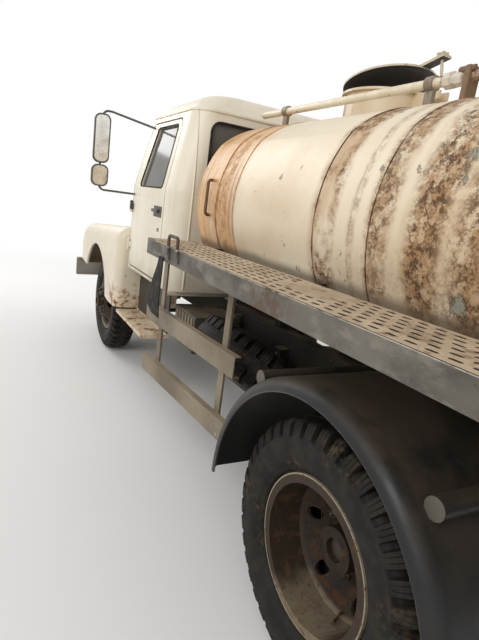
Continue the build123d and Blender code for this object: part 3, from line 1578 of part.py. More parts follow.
lid_radius = manhole_radius + manhole_flange
lid_low_z = manhole_top_z + lid_seal_gap
lid_rim_z = lid_low_z + lid_thickness
dome_radius = lid_radius - lid_overhang
hollow_radius = dome_radius - lid_thickness
with BuildPart() as manhole_lid:
    with BuildSketch(Plane.XZ):
        with BuildLine():
            Line((manhole_x, lid_low_z + lid_dome), (manhole_x, lid_rim_z + lid_dome))
            ThreePointArc(
                (manhole_x, lid_rim_z + lid_dome),
                (manhole_x + dome_radius / 2, lid_rim_z + cap_rise(dome_radius, lid_dome, dome_radius / 2)),
                (manhole_x + dome_radius, lid_rim_z),
            )
            Polyline(
                (manhole_x + dome_radius, lid_rim_z),
                (manhole_x + lid_radius, lid_rim_z),
                (manhole_x + lid_radius, lid_low_z),
                (manhole_x + hollow_radius, lid_low_z),
            )
            ThreePointArc(
                (manhole_x + hollow_radius, lid_low_z),
                (
                    manhole_x + hollow_radius / 2,
                    lid_low_z + cap_rise(hollow_radius, lid_dome, hollow_radius / 2),
                ),
                (manhole_x, lid_low_z + lid_dome),
            )
        make_face()
    revolve(axis=Axis((manhole_x, 0, 0), (0, 0, 1)))
    with BuildSketch(Plane.XZ.offset(-lid_hinge_width / 2)):
        with BuildLine():
            strap_low_z = lid_rim_z - lid_thickness / 3
            strap_high_z = strap_low_z + lid_strap_thickness
            strap_crown_z = lid_rim_z + lid_dome - lid_thickness / 2
            strap_end_x = manhole_x - lid_radius - lid_strap_end_reach
            Polyline(
                (manhole_x - dome_radius, strap_low_z),
                (strap_end_x, strap_low_z),
                (strap_end_x, strap_high_z),
                (manhole_x - dome_radius, strap_high_z),
            )
            ThreePointArc(
                (manhole_x - dome_radius, strap_high_z),
                (manhole_x, strap_crown_z + lid_strap_thickness),
                (manhole_x + dome_radius, strap_high_z),
            )
            Polyline(
                (manhole_x + dome_radius, strap_high_z),
                (lid_hinge_x, strap_high_z),
                (lid_hinge_x, strap_low_z),
                (manhole_x + dome_radius, strap_low_z),
            )
            ThreePointArc(
                (manhole_x + dome_radius, strap_low_z),
                (manhole_x, strap_crown_z),
                (manhole_x - dome_radius, strap_low_z),
            )
        make_face()
        with Locations((lid_hinge_x, lid_hinge_z)):
            Circle(lid_hinge_radius)
            Circle(lid_hinge_pin_radius + running_clearance, mode=Mode.SUBTRACT)
    extrude(amount=lid_hinge_width)
    screw_x = strap_end_x + lid_nut_radius
    add(
        round_bar(
            (screw_x, 0, strap_high_z + lid_nut_height),
            (screw_x, 0, strap_high_z - lid_screw_drop),
            lid_screw_radius,
        )
    )
    with BuildSketch(Plane.XY.offset(strap_high_z)):
        with Locations((screw_x, 0)):
            Circle(lid_nut_radius * 0.7)
            with PolarLocations(lid_nut_radius * 0.7, 5):
                Circle(lid_nut_radius * 0.3)
    extrude(amount=lid_nut_height)
rested_lid = manhole_lid.part.rotate(Axis((lid_hinge_x, 0, lid_hinge_z), (0, 1, 0)), lid_rest_angle)
save(rested_lid, "manhole_lid")

# Pipe along the tank's top on its brackets
top_pipe_front_x = rear_axle_x + top_pipe_front_from_axle
top_pipe_rear_x = rear_axle_x + top_pipe_rear_from_axle
with BuildPart() as top_pipe:
    with BuildSketch(Plane.YZ.offset(top_pipe_rear_x)):
        with Locations((top_pipe_y, top_pipe_z)):
            Circle(top_pipe_radius)
    extrude(amount=top_pipe_front_x - top_pipe_rear_x)
    for station in top_pipe_stations_from_axle:
        with BuildSketch(Plane.XY.offset(tank_centre_z)):
            with Locations((rear_axle_x + station, top_pipe_y)):
                Rectangle(top_pipe_bracket_width, top_pipe_radius)
        extrude(amount=top_pipe_z - tank_centre_z)
        with BuildSketch(Plane.YZ.offset(rear_axle_x + station - top_pipe_bracket_width / 2)):
            with Locations((top_pipe_y, top_pipe_z)):
                Circle(top_pipe_radius * 1.5)
        extrude(amount=top_pipe_bracket_width)
    add(tank_core, mode=Mode.SUBTRACT)
save(top_pipe.part, "top_pipe")


# Walkways: a deck along each side of the tank with a folded fascia, on brackets from the tank
walkway_front_x = rear_axle_x + walkway_front_from_axle
walkway_rear_x = rear_axle_x + walkway_rear_from_axle
walkway_length = walkway_front_x - walkway_rear_x
walkway_low_z = walkway_top_z - walkway_depth
with BuildPart() as walkway:
    with BuildSketch(Plane.YZ.offset(walkway_rear_x)):
        with BuildLine():
            Polyline(
                (walkway_inner_y, walkway_top_z),
                (walkway_outer_y, walkway_top_z),
                (walkway_outer_y, walkway_low_z),
                (walkway_outer_y - walkway_lip, walkway_low_z),
                (walkway_outer_y - walkway_lip, walkway_low_z + walkway_wall),
                (walkway_outer_y - walkway_wall, walkway_low_z + walkway_wall),
                (walkway_outer_y - walkway_wall, walkway_top_z - walkway_wall),
                (walkway_inner_y, walkway_top_z - walkway_wall),
                close=True,
            )
        make_face()
    extrude(amount=walkway_length)
    loop_rear_x = rear_axle_x + walkway_loop_rear_from_axle
    loop_front_x = rear_axle_x + walkway_loop_front_from_axle
    loop_foot_z = walkway_top_z - walkway_loop_pad
    add(
        bent_bar(
            Plane.XZ.offset(-walkway_loop_y),
            (
                (loop_rear_x, loop_foot_z),
                (loop_rear_x, walkway_loop_top_z),
                (loop_front_x, walkway_loop_top_z),
                (loop_front_x, loop_foot_z),
            ),
            2 * walkway_loop_radius,
            walkway_loop_radius,
        )
    )
    with BuildSketch(Plane.XY.offset(loop_foot_z - walkway_loop_pad / 2)):
        with Locations((loop_rear_x, walkway_outer_y), (loop_front_x, walkway_outer_y)):
            Rectangle(3 * walkway_loop_radius, 2 * (walkway_loop_y - walkway_outer_y))
    extrude(amount=walkway_loop_pad)
    for station in walkway_stations_from_axle:
        with BuildSketch(Plane.YZ.offset(rear_axle_x + station - walkway_bracket_width / 2)):
            with BuildLine():
                Polyline(
                    (tank_half_width / 2, walkway_top_z - walkway_wall),
                    (walkway_outer_y - walkway_wall, walkway_top_z - walkway_wall),
                    (walkway_outer_y - walkway_wall, walkway_low_z + walkway_wall),
                    (tank_half_width * 0.85, walkway_low_z - walkway_bracket_drop),
                    (tank_half_width / 2, walkway_low_z - walkway_bracket_drop),
                    close=True,
                )
            make_face()
        extrude(amount=walkway_bracket_width)
    add(tank_core, mode=Mode.SUBTRACT)
    mirror(about=Plane.XZ)
save(walkway.part, "walkways")


# Side guards: two channel rails on posts hung from the walkway, the left one knocked askew
def side_guard(front_y, rear_y):
    """One side guard, from its rear end to its front end at the two distances out."""
    front = Vector(rear_axle_x + guard_front_from_axle, front_y, 0)
    rear = Vector(rear_axle_x + guard_rear_from_axle, rear_y, 0)
    run = front - rear
    frame = Plane(origin=rear, x_dir=(-run.Y, run.X, 0), z_dir=run)
    post_top_z = walkway_top_z - walkway_wall
    with BuildPart() as guard:
        for top_z in (guard_upper_top_z, guard_lower_top_z):
            low_z = top_z - guard_rail_height
            with BuildSketch(frame):
                with BuildLine():
                    Polyline(
                        (0, low_z),
                        (0, top_z),
                        (-guard_rail_depth, top_z),
                        (-guard_rail_depth, top_z - guard_rail_wall),
                        (-guard_rail_wall, top_z - guard_rail_wall),
                        (-guard_rail_wall, low_z + guard_rail_wall),
                        (-guard_rail_depth, low_z + guard_rail_wall),
                        (-guard_rail_depth, low_z),
                        close=True,
                    )
                make_face()
            extrude(amount=run.length)
        for share in (guard_post_inset / run.length, 1 - guard_post_inset / run.length):
            foot = rear + run * share
            post = Plane(origin=foot, x_dir=run, z_dir=(0, 0, 1))
            with BuildSketch(post.offset(guard_lower_top_z - guard_rail_height)):
                with Locations((0, -guard_rail_depth - guard_post_depth / 2)):
                    Rectangle(guard_post_width, guard_post_depth)
            extrude(amount=post_top_z - guard_lower_top_z + guard_rail_height)
    return guard.part


with BuildPart() as side_guards:
    add(side_guard(guard_front_y, guard_rear_y))
    add(mirror(side_guard(guard_front_y, guard_front_y), about=Plane.XZ))
save(side_guards.part, "side_guards")

# Rear fenders: half barrels over the twin tyres with a turned-down lip, on two tubes each
tube_z = rail_top_z + fender_tube_packer + fender_tube_radius
tube_centre_radius = rear_fender_radius + fender_tube_radius - rear_fender_wall / 2
tube_from_axle = sqrt(tube_centre_radius**2 - (tube_z - axle_z) ** 2)
with BuildPart() as rear_fenders:
    with BuildSketch(wheel_plane(rear_axle_x, 0, axle_z)):
        with BuildLine():
            edge_radius = rear_fender_radius - rear_fender_lip_radius
            turn = edge_radius * (1 - cos(radians(45)))
            Polyline(
                (rear_fender_lip_radius, rear_fender_outer_y - rear_fender_wall),
                (rear_fender_lip_radius, rear_fender_outer_y),
            )
            ThreePointArc(
                (rear_fender_lip_radius, rear_fender_outer_y),
                (rear_fender_radius - turn, rear_fender_outer_y - turn),
                (rear_fender_radius, rear_fender_outer_y - edge_radius),
            )
            Polyline(
                (rear_fender_radius, rear_fender_outer_y - edge_radius),
                (rear_fender_radius, rear_fender_inner_y),
                (rear_fender_radius - rear_fender_wall, rear_fender_inner_y),
                (rear_fender_radius - rear_fender_wall, rear_fender_outer_y - edge_radius),
            )
            ThreePointArc(
                (rear_fender_radius - rear_fender_wall, rear_fender_outer_y - edge_radius),
                (
                    rear_fender_radius - rear_fender_wall - turn,
                    rear_fender_outer_y - rear_fender_wall - turn,
                ),
                (rear_fender_lip_radius, rear_fender_outer_y - rear_fender_wall),
            )
        make_face()
    revolve(axis=Axis((rear_axle_x, 0, axle_z), (0, -1, 0)), revolution_arc=180)
    for tube_x in (rear_axle_x + tube_from_axle, rear_axle_x - tube_from_axle):
        with BuildSketch(Plane.XZ.offset(-fender_tube_outer_y)):
            with Locations((tube_x, tube_z)):
                Circle(fender_tube_radius)
        extrude(amount=fender_tube_outer_y - rail_inner_y)
        with BuildSketch(Plane.XY.offset(rail_top_z)):
            with Locations((tube_x, rail_centre_y)):
                Rectangle(2 * fender_tube_radius, rail_flange)
        extrude(amount=fender_tube_packer + fender_tube_radius)
    mirror(about=Plane.XZ)
save(rear_fenders.part, "rear_fenders")

# Rear end: cross bar, tail lamps, outlet with its flange, and the ladder to the walkway
rear_bar_x = rear_x + rear_bar_setback
lamp_plate_x = rear_x + lamp_depth
with BuildPart() as rear_bar:
    with BuildSketch(Plane.XZ.offset(-rear_bar_half_width)):
        with BuildLine():
            Polyline(
                (rear_bar_x, rear_bar_low_z),
                (rail_rear_x, rear_bar_low_z),
                (rail_rear_x, rear_bar_low_z + rear_bar_wall),
                (rear_bar_x + rear_bar_wall, rear_bar_low_z + rear_bar_wall),
                (rear_bar_x + rear_bar_wall, rear_bar_high_z - rear_bar_wall),
                (rail_rear_x, rear_bar_high_z - rear_bar_wall),
                (rail_rear_x, rear_bar_high_z),
                (rear_bar_x, rear_bar_high_z),
                close=True,
            )
        make_face()
    extrude(amount=2 * rear_bar_half_width)
    with BuildSketch(Plane.YZ.offset(lamp_plate_x)):
        plate_z = rear_bar_low_z - lamp_plate_drop / 2
        with Locations((tail_lamp_y, plate_z), (-tail_lamp_y, plate_z)):
            Rectangle(lamp_plate_length, lamp_plate_drop + rear_bar_wall)
    extrude(amount=rear_bar_wall)
save(rear_bar.part, "rear_bar")

with BuildPart() as tail_lamps:
    with BuildSketch(Plane.YZ.offset(rear_x)):
        with Locations((tail_lamp_y, rear_bar_low_z - lamp_plate_drop / 2)):
            RectangleRounded(tail_lamp_length, tail_lamp_height, tail_lamp_height / 4)
    extrude(amount=lamp_depth)
    mirror(about=Plane.XZ)
save(tail_lamps.part, "tail_lamps")

outlet_x = rear_x + outlet_reach
with BuildPart() as outlet:
    with BuildSketch(Plane.YZ.offset(outlet_x)):
        with Locations((0, outlet_z)):
            Circle(outlet_flange_radius)
    extrude(amount=outlet_flange_thickness)
    with BuildSketch(Plane.YZ.offset(outlet_x)):
        with Locations((0, outlet_z)):
            Circle(outlet_radius)
    extrude(amount=tank_rear_x + 2 * outlet_radius - outlet_x)
    add(tank_shell.part, mode=Mode.SUBTRACT)
    with BuildSketch(Plane.YZ.offset(outlet_x)):
        with Locations((0, outlet_z)):
            Circle(outlet_bore_radius)
    extrude(amount=outlet_bore_depth, mode=Mode.SUBTRACT)
    with BuildSketch(Plane.YZ.offset(outlet_x)):
        with Locations((0, outlet_z)):
            with PolarLocations(outlet_bolt_circle_radius, outlet_bolt_count):
                Circle(outlet_bolt_radius)
    extrude(amount=outlet_flange_thickness, mode=Mode.SUBTRACT)
save(outlet.part, "outlet_flange")

ladder_front_x = walkway_rear_x
with BuildPart() as ladder:
    for side in (1, -1):
        with BuildSketch(Plane.XY.offset(ladder_low_z)):
            stile_y = ladder_y + side * (ladder_width - ladder_stile) / 2
            with Locations((ladder_front_x - ladder_stile / 2, stile_y)):
                Rectangle(ladder_stile, ladder_stile)
        extrude(amount=walkway_top_z - ladder_low_z)
    rung_pitch = (walkway_top_z - ladder_low_z) / (ladder_rung_count + 1)
    for rung in range(1, ladder_rung_count + 1):
        with BuildSketch(Plane.XZ.offset(-(ladder_y + ladder_width / 2 - ladder_stile / 2))):
            with Locations((ladder_front_x - ladder_stile / 2, ladder_low_z + rung * rung_pitch)):
                Circle(ladder_rung_radius)
        extrude(amount=ladder_width - ladder_stile)
save(ladder.part, "ladder")
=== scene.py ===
import bpy
import bmesh
import math
from mathutils import Matrix, Vector


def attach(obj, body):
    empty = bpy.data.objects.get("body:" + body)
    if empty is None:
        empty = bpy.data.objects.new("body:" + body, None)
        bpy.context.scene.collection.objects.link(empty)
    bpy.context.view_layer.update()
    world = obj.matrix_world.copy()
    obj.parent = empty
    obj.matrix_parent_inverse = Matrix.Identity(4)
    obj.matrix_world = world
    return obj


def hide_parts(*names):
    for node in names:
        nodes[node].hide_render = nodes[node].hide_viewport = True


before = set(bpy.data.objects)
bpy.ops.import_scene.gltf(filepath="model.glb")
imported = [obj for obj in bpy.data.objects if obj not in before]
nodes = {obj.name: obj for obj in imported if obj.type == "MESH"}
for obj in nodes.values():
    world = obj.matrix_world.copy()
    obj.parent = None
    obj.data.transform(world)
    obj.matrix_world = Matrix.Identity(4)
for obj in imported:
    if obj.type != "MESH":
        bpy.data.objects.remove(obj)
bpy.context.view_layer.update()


# The camera stands beside the left rear wheels, at eye height, and looks forward along the lorry.
# Its turn, tilt and lens are those of the photograph, in the lorry's own frame.
camera_place = Vector((-2.708, 2.022, 1.608))
camera_turn, camera_dip, camera_lean = (math.radians(angle) for angle in (29.21, 13.52, -7.9))
focal_pixels = 476.46
photo_height_pixels = 640
sensor_mm = 36

ahead = Vector((
    math.cos(camera_dip) * math.cos(camera_turn),
    -math.cos(camera_dip) * math.sin(camera_turn),
    -math.sin(camera_dip),
))
level_right = Vector((-math.sin(camera_turn), -math.cos(camera_turn), 0))
level_down = ahead.cross(level_right)
right = level_right * math.cos(camera_lean) + level_down * math.sin(camera_lean)
down = level_down * math.cos(camera_lean) - level_right * math.sin(camera_lean)

camera_data = bpy.data.cameras.new("camera")
camera_data.sensor_width = sensor_mm
camera_data.lens = focal_pixels / photo_height_pixels * sensor_mm
camera_data.clip_start = 0.05
camera = bpy.data.objects.new("camera", camera_data)
camera_turned = Matrix((right, -down, -ahead)).transposed().to_4x4()
camera.matrix_world = Matrix.Translation(camera_place) @ camera_turned
bpy.context.collection.objects.link(camera)
bpy.context.scene.camera = camera
bpy.context.scene.view_settings.view_transform = "Standard"


# The studio: a plain pale floor, an even white world and three large soft lamps.
# The world looks white to the eye and to shiny surfaces, and lights the lorry more gently.
class Value:
    """One socket of a node tree, with sums written as Python expressions."""

    def __init__(self, tree, socket=None):
        self.tree, self.socket = tree, socket

    def node(self, kind, settings=None, sockets=None, outlet=0):
        """Adds a node: its settings first, then the values or links of its sockets."""
        made = self.tree.nodes.new(kind)
        for name, setting in (settings or {}).items():
            setattr(made, name, setting)
        for name, given in (sockets or {}).items():
            if isinstance(given, Value):
                self.tree.links.new(given.socket, made.inputs[name])
            elif isinstance(given, tuple) and made.inputs[name].type == "RGBA":
                made.inputs[name].default_value = (*given, 1)
            else:
                made.inputs[name].default_value = given
        return Value(self.tree, made.outputs[outlet]) if made.outputs else None

    def other(self, outlet):
        """Another outlet of the node that this value comes from."""
        return Value(self.tree, self.socket.node.outputs[outlet])

    def maths(self, operation, first, second=0.0):
        return self.node("ShaderNodeMath", {"operation": operation}, {0: first, 1: second})

    def __add__(self, other):
        return self.maths("ADD", self, other)

    def __sub__(self, other):
        return self.maths("SUBTRACT", self, other)

    def __rsub__(self, other):
        return self.maths("SUBTRACT", other, self)

    def __mul__(self, other):
        return self.maths("MULTIPLY", self, other)

    def __pow__(self, other):
        return self.maths("POWER", self, other)

    def __abs__(self):
        return self.maths("ABSOLUTE", self)

    def above(self, low, high):
        """A mask that rises smoothly from 0 at low to 1 at high."""
        return self.node("ShaderNodeMapRange", {"interpolation_type": "SMOOTHSTEP"},
                         {"Value": self, "From Min": low, "From Max": high})

    def near(self, middle, half, soft):
        """A mask that is 1 within half of the middle and fades to 0 over soft."""
        return 1 - abs(self - middle).above(half, half + soft)

    def tint(self, colour, mask):
        """This colour with another laid over it where the mask is 1."""
        return self.node("ShaderNodeMix", {"data_type": "RGBA"}, {0: mask, 6: self, 7: colour}, 2)

    def sine(self):
        return self.maths("SINE", self)

    def larger(self, other):
        return self.maths("MAXIMUM", self, other)

    __radd__ = __add__
    __rmul__ = __mul__


floor_half = 60
floor_fade = (4.0, 9.5)
floor_colour = (0.80, 0.79, 0.77)
white = (1, 1, 1)
world_strength = 0.62

world = bpy.data.worlds.new("studio")
world.use_nodes = True
bpy.context.scene.world = world
world.node_tree.nodes.clear()
sky = Value(world.node_tree)
seen_rays = [sky.node("ShaderNodeLightPath", outlet=name)
             for name in ("Is Camera Ray", "Is Glossy Ray", "Is Transmission Ray")]
seen = seen_rays[0].larger(seen_rays[1]).larger(seen_rays[2])
sky_light = sky.node("ShaderNodeBackground",
                     sockets={"Color": white, "Strength": seen * (1 - world_strength) + world_strength})
sky.node("ShaderNodeOutputWorld", sockets={"Surface": sky_light})


def mesh_object(name, points, faces):
    """A plain mesh object at the origin, from its points and faces."""
    mesh = bpy.data.meshes.new(name)
    mesh.from_pydata([tuple(point) for point in points], [], faces)
    mesh.update()
    made = bpy.data.objects.new(name, mesh)
    bpy.context.collection.objects.link(made)
    return made


def new_material(name, roughness=0.6, metallic=0.0, shine=0.5):
    """A material with its shader, and the object coordinates that its patterns read."""
    material = bpy.data.materials.new(name)
    material.use_nodes = True
    shader = material.node_tree.nodes["Principled BSDF"]
    shader.inputs["Roughness"].default_value = roughness
    shader.inputs["Metallic"].default_value = metallic
    shader.inputs["Specular IOR Level"].default_value = shine
    place = Value(material.node_tree).node("ShaderNodeTexCoord", outlet="Object")
    return material, shader, place


def feed(shader, name, given):
    """Sets a socket of the shader, by a link or as a constant."""
    if isinstance(given, Value):
        given.tree.links.new(given.socket, shader.inputs[name])
    else:
        shader.inputs[name].default_value = (*given, 1) if isinstance(given, tuple) else given


def axes(vector):
    """The parts of a vector along the lorry, across it and up."""
    parts = vector.node("ShaderNodeSeparateXYZ", sockets={"Vector": vector})
    return parts, parts.other("Y"), parts.other("Z")


concrete, shader, place = new_material("pale_floor", 0.9)
feed(shader, "Base Color", floor_colour)
along, across, height = axes(place)
away = (along * along + across * across) ** 0.5
paper = place.node("ShaderNodeEmission", sockets={"Color": white})
lit = Value(concrete.node_tree, shader.outputs[0])
faded = place.node("ShaderNodeMixShader", sockets={0: away.above(*floor_fade), 1: lit, 2: paper})
concrete.node_tree.links.new(faded.socket, concrete.node_tree.nodes["Material Output"].inputs["Surface"])
floor_corners = [(-floor_half, -floor_half, 0), (floor_half, -floor_half, 0),
                 (floor_half, floor_half, 0), (-floor_half, floor_half, 0)]
floor = mesh_object("floor", floor_corners, [(0, 1, 2, 3)])
floor.data.materials.append(concrete)


def soft_lamp(name, at, towards, power, size=4.0):
    """A large square lamp that lights a place on the lorry."""
    data = bpy.data.lights.new(name, "AREA")
    data.shape = "SQUARE"
    data.size = size
    data.energy = power
    lamp = bpy.data.objects.new(name, data)
    bpy.context.collection.objects.link(lamp)
    lamp.location = at
    lamp.rotation_euler = (Vector(towards) - Vector(at)).to_track_quat("-Z", "Y").to_euler()


soft_lamp("lamp_left", (-3.5, 6.5, 5.5), (0, 0, 1.2), 260)
soft_lamp("lamp_front", (7.0, 3.0, 5.0), (1.5, 0, 1.2), 200)
soft_lamp("lamp_right", (0.0, -7.0, 5.0), (0, 0, 1.2), 130)


# Chassis: riveted pressed rails and cross members in black enamel, with forged axles, knuckles, springs
# and shafts in bare iron that is brown with rust and road dust. Years of weather fade, chip and rust them.
rust_dark = (0.055, 0.022, 0.010)
rust_brown = (0.19, 0.075, 0.026)
rust_orange = (0.46, 0.19, 0.055)
primer = (0.27, 0.27, 0.22)
dust = (0.34, 0.26, 0.17)


def grain(place, scale, detail=3, stretch=(1, 1, 1), shift=0, rough=0.6):
    """Soft noise over a surface, finer with a larger scale and stretched along any axis."""
    moved = place.node("ShaderNodeMapping",
                       sockets={"Vector": place, "Location": (shift, shift, shift), "Scale": stretch})
    return place.node("ShaderNodeTexNoise",
                      sockets={"Vector": moved, "Scale": scale, "Detail": detail, "Roughness": rough})


def raise_surface(shader, height, depth):
    """Feeds a height, in metres at 1, to the shader's normal."""
    bump = height.node("ShaderNodeBump", sockets={"Height": height, "Strength": 1.0, "Distance": depth})
    feed(shader, "Normal", bump)


def coat(shader, colour, rough=None, relief=None, depth=0.001):
    """Feeds a material's colour, and where it has them its roughness and its relief."""
    feed(shader, "Base Color", colour)
    if rough is not None:
        feed(shader, "Roughness", rough)
    if relief is not None:
        raise_surface(shader, relief, depth)


def between(place, mask, low, high):
    """A colour that goes from low to high with the mask."""
    return place.node("ShaderNodeMix", {"data_type": "RGBA"}, {0: mask, 6: low, 7: high}, 2)


def facing(place):
    """The parts of the direction that a surface faces."""
    return axes(place.node("ShaderNodeNewGeometry", outlet="Normal"))


def mottled(place, scale, detail, low, high, first, second, shift=0):
    """A colour that drifts to another in clouds, between a low and a high level of soft noise."""
    return between(place, grain(place, scale, detail, shift=shift).above(low, high), first, second)


def worn_paint(name, colour, faded, gloss=0.45, rust=0.5, chips=0.3, dusty=0.4, runs=0.5, fine=1.0):
    """Paint over steel: faded in clouds, chipped to primer, freckled with rust, dusty where it faces up."""
    material, shader, place = new_material(name)
    upward = facing(place)[2]
    cover = mottled(place, 1.7, 4, 0.35, 0.68, colour, faded)
    running = grain(place, 3.2 * fine, 5, (2.6, 2.6, 0.22), 3.1)
    run_mask = running.above(0.78 - 0.26 * runs, 0.88 - 0.16 * runs) * 0.75
    cover = cover.tint(rust_brown, run_mask * grain(place, 2.1, 2, shift=8).above(0.35, 0.6))
    chip_noise = grain(place, 9 * fine, 6, shift=5.3, rough=0.72)
    chip_mask = chip_noise.above(0.74 - 0.12 * chips, 0.745 - 0.12 * chips)
    chip_edge = chip_noise.above(0.725 - 0.12 * chips, 0.73 - 0.12 * chips)
    cover = cover.tint(rust_dark, chip_edge * 0.8).tint(primer, chip_mask)
    freckles = grain(place, 34 * fine, 4, shift=1.7, rough=0.8)
    patchy = grain(place, 2.6, 3, shift=6.4).above(0.42, 0.62)
    freckle_mask = freckles.above(0.70 - 0.10 * rust, 0.76 - 0.10 * rust) * patchy
    blooms = grain(place, 4.4, 5, shift=2.2, rough=0.75)
    bloom_mask = blooms.above(0.76 - 0.16 * rust, 0.84 - 0.16 * rust)
    cover = cover.tint(rust_brown, freckle_mask).tint(rust_orange, bloom_mask * 0.55)
    cover = cover.tint(rust_dark, bloom_mask * freckles.above(0.52, 0.58))
    film = upward.above(0.15, 0.95) * grain(place, 6, 4, shift=9).above(0.25, 0.75) * dusty
    rough = (freckle_mask + bloom_mask + film).above(0, 1) * (0.92 - gloss) + gloss
    height = grain(place, 60, 3, shift=4) * 0.15 - chip_mask * 0.35 + freckle_mask * 0.5
    coat(shader, cover.tint(dust, film), rough, height + bloom_mask * freckles * 0.3, 0.0015)
    return material


def dress(material, *names):
    """Gives every slot of the named CAD pieces one material."""
    for name in names:
        for index in range(len(nodes[name].data.materials)):
            nodes[name].data.materials[index] = material


chassis_black = worn_paint("chassis_black", (0.020, 0.018, 0.015), (0.045, 0.035, 0.025),
                           0.55, 0.4, 0.1, 0.7, 0.3)
dress(chassis_black, "frame_rails", "frame_crossmembers", "tank_saddles", "spare_carrier", "exhaust",
      "radiator")
rusty_iron = worn_paint("rusty_iron", (0.060, 0.048, 0.036), (0.035, 0.026, 0.018), 0.7, 0.7, 0.1, 0.6, 0.2)
dress(rusty_iron, "front_axle", "rear_axle", "knuckle_left", "knuckle_right", "tie_rod", "leaf_springs",
      "driveline", "engine_block", "outlet_flange")


def repeat_tree(name, sizes, build):
    """A Geometry Nodes tree with named inputs, ended by real faces, merged points and a material."""
    kinds = {int: "NodeSocketInt", float: "NodeSocketFloat", tuple: "NodeSocketVector",
             None: "NodeSocketObject"}
    tree = bpy.data.node_groups.new(name, "GeometryNodeTree")
    for size, kind in sizes.items():
        tree.interface.new_socket(size, in_out="INPUT", socket_type=kinds[kind])
    tree.interface.new_socket("Finish", in_out="INPUT", socket_type="NodeSocketMaterial")
    tree.interface.new_socket("Geometry", in_out="OUTPUT", socket_type="NodeSocketGeometry")
    root = Value(tree)
    given = root.node("NodeGroupInput", outlet=0)
    values = {size: given.other(size) for size in (*sizes, "Finish")}
    values["Tile"] = root.node("GeometryNodeObjectInfo", sockets={"Object": values["Tile"]},
                               outlet="Geometry")
    made = build(root, values)
    real = root.node("GeometryNodeRealizeInstances", sockets={"Geometry": made})
    joined = root.node("GeometryNodeMergeByDistance", sockets={"Geometry": real, "Distance": 0.0001})
    done = root.node("GeometryNodeSetMaterial", sockets={"Geometry": joined, "Material": values["Finish"]})
    root.node("NodeGroupOutput", sockets={"Geometry": done})
    return tree


def made_real(made):
    """A plain mesh of an object as its modifiers leave it."""
    return bpy.data.meshes.new_from_object(made.evaluated_get(bpy.context.evaluated_depsgraph_get()))


def repeated(name, tree, settings, body):
    """A plain mesh object of what a tree repeats, with its body and paint slot. It uses its tile up."""
    host = bpy.data.objects.new(name, bpy.data.meshes.new(name))
    bpy.context.collection.objects.link(host)
    modifier = host.modifiers.new("repeat", "NODES")
    modifier.node_group = tree
    for item in tree.interface.items_tree:
        if item.in_out == "INPUT":
            modifier[item.identifier] = settings[item.name]
    bpy.context.view_layer.update()
    mesh = made_real(host)
    host.modifiers.clear()
    host.data = mesh
    mesh.shade_smooth()
    mesh.set_sharp_from_angle(angle=math.radians(35))
    bpy.data.objects.remove(settings["Tile"])
    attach(host, body)
    return host


def line_of(root, count, step, start=(0.0, 0.0, 0.0)):
    """Points in a straight line."""
    return root.node("GeometryNodeMeshLine", {"mode": "OFFSET"},
                     {"Count": count, "Start Location": start, "Offset": step})


def placed(root, points, tile, turned=(0.0, 0.0, 0.0)):
    """The tile at each point."""
    return root.node("GeometryNodeInstanceOnPoints",
                     sockets={"Points": points, "Instance": tile, "Rotation": turned})


def build_row(root, values):
    """Tiles in a straight row."""
    return placed(root, line_of(root, values["Count"], values["Step"], values["Start"]), values["Tile"])


row_tree = repeat_tree("row_of", {"Tile": None, "Count": int, "Start": tuple, "Step": tuple}, build_row)


def skin(rows, around, ends, start=0):
    """Faces over rows of points that each close on themselves, with open, capped or joined ends."""
    faces = []
    for row in range(rows if ends == "joined" else rows - 1):
        low, high = start + row * around, start + (row + 1) % rows * around
        for side in range(around):
            on = (side + 1) % around
            faces.append((low + side, low + on, high + on, high + side))
    if ends == "capped":
        faces += [tuple(reversed(range(around))), tuple(range((rows - 1) * around, rows * around))]
    return faces


def turn_outwards(piece):
    """Points every face of a closed piece outwards."""
    work = bmesh.new()
    work.from_mesh(piece.data)
    bmesh.ops.recalc_face_normals(work, faces=work.faces)
    work.to_mesh(piece.data)
    work.free()


def turned_tile(name, profile, sides, axis="Y"):
    """A small closed turned tile about an axis through the origin, from (radius, height) rows."""
    points = []
    for radius, height in profile:
        for side in range(sides):
            angle = 2 * math.pi * side / sides
            across, up = radius * math.cos(angle), radius * math.sin(angle)
            points.append({"X": (height, across, up), "Y": (up, height, across),
                           "Z": (across, up, height)}[axis])
    made = mesh_object(name, points, skin(len(profile), sides, "capped"))
    turn_outwards(made)
    return made


# Columns: radius, how far out
rivet_profile = ((0.010, -0.001), (0.010, 0.001), (0.0075, 0.0055), (0.003, 0.0075))
rail_outer, first_rivet = 0.432, -3.05
both_sides = (("left", 1), ("right", -1))
# Columns: height of the row, how many rivets, their pitch
rivet_rows = ((0.885, 25, 0.24), (0.755, 25, 0.24))
for side, sign in both_sides:
    for row, (height, count, pitch) in enumerate(rivet_rows):
        rivet = turned_tile("rivet", [(radius, sign * out) for radius, out in rivet_profile], 10)
        repeated(f"rail_rivets_{side}_{row}", row_tree, {
            "Tile": rivet, "Count": count, "Start": (first_rivet, sign * rail_outer, height),
            "Step": (pitch, 0.0, 0.0), "Finish": chassis_black}, "chassis")


# Tyres: cross-ply lorry tyres whose shoulder lugs are worn, sooty on the walls and brown with dried mud
# on the lugs. A sector of the tread, one lug and one groove, is repeated round each wheel.
lug_count = 40
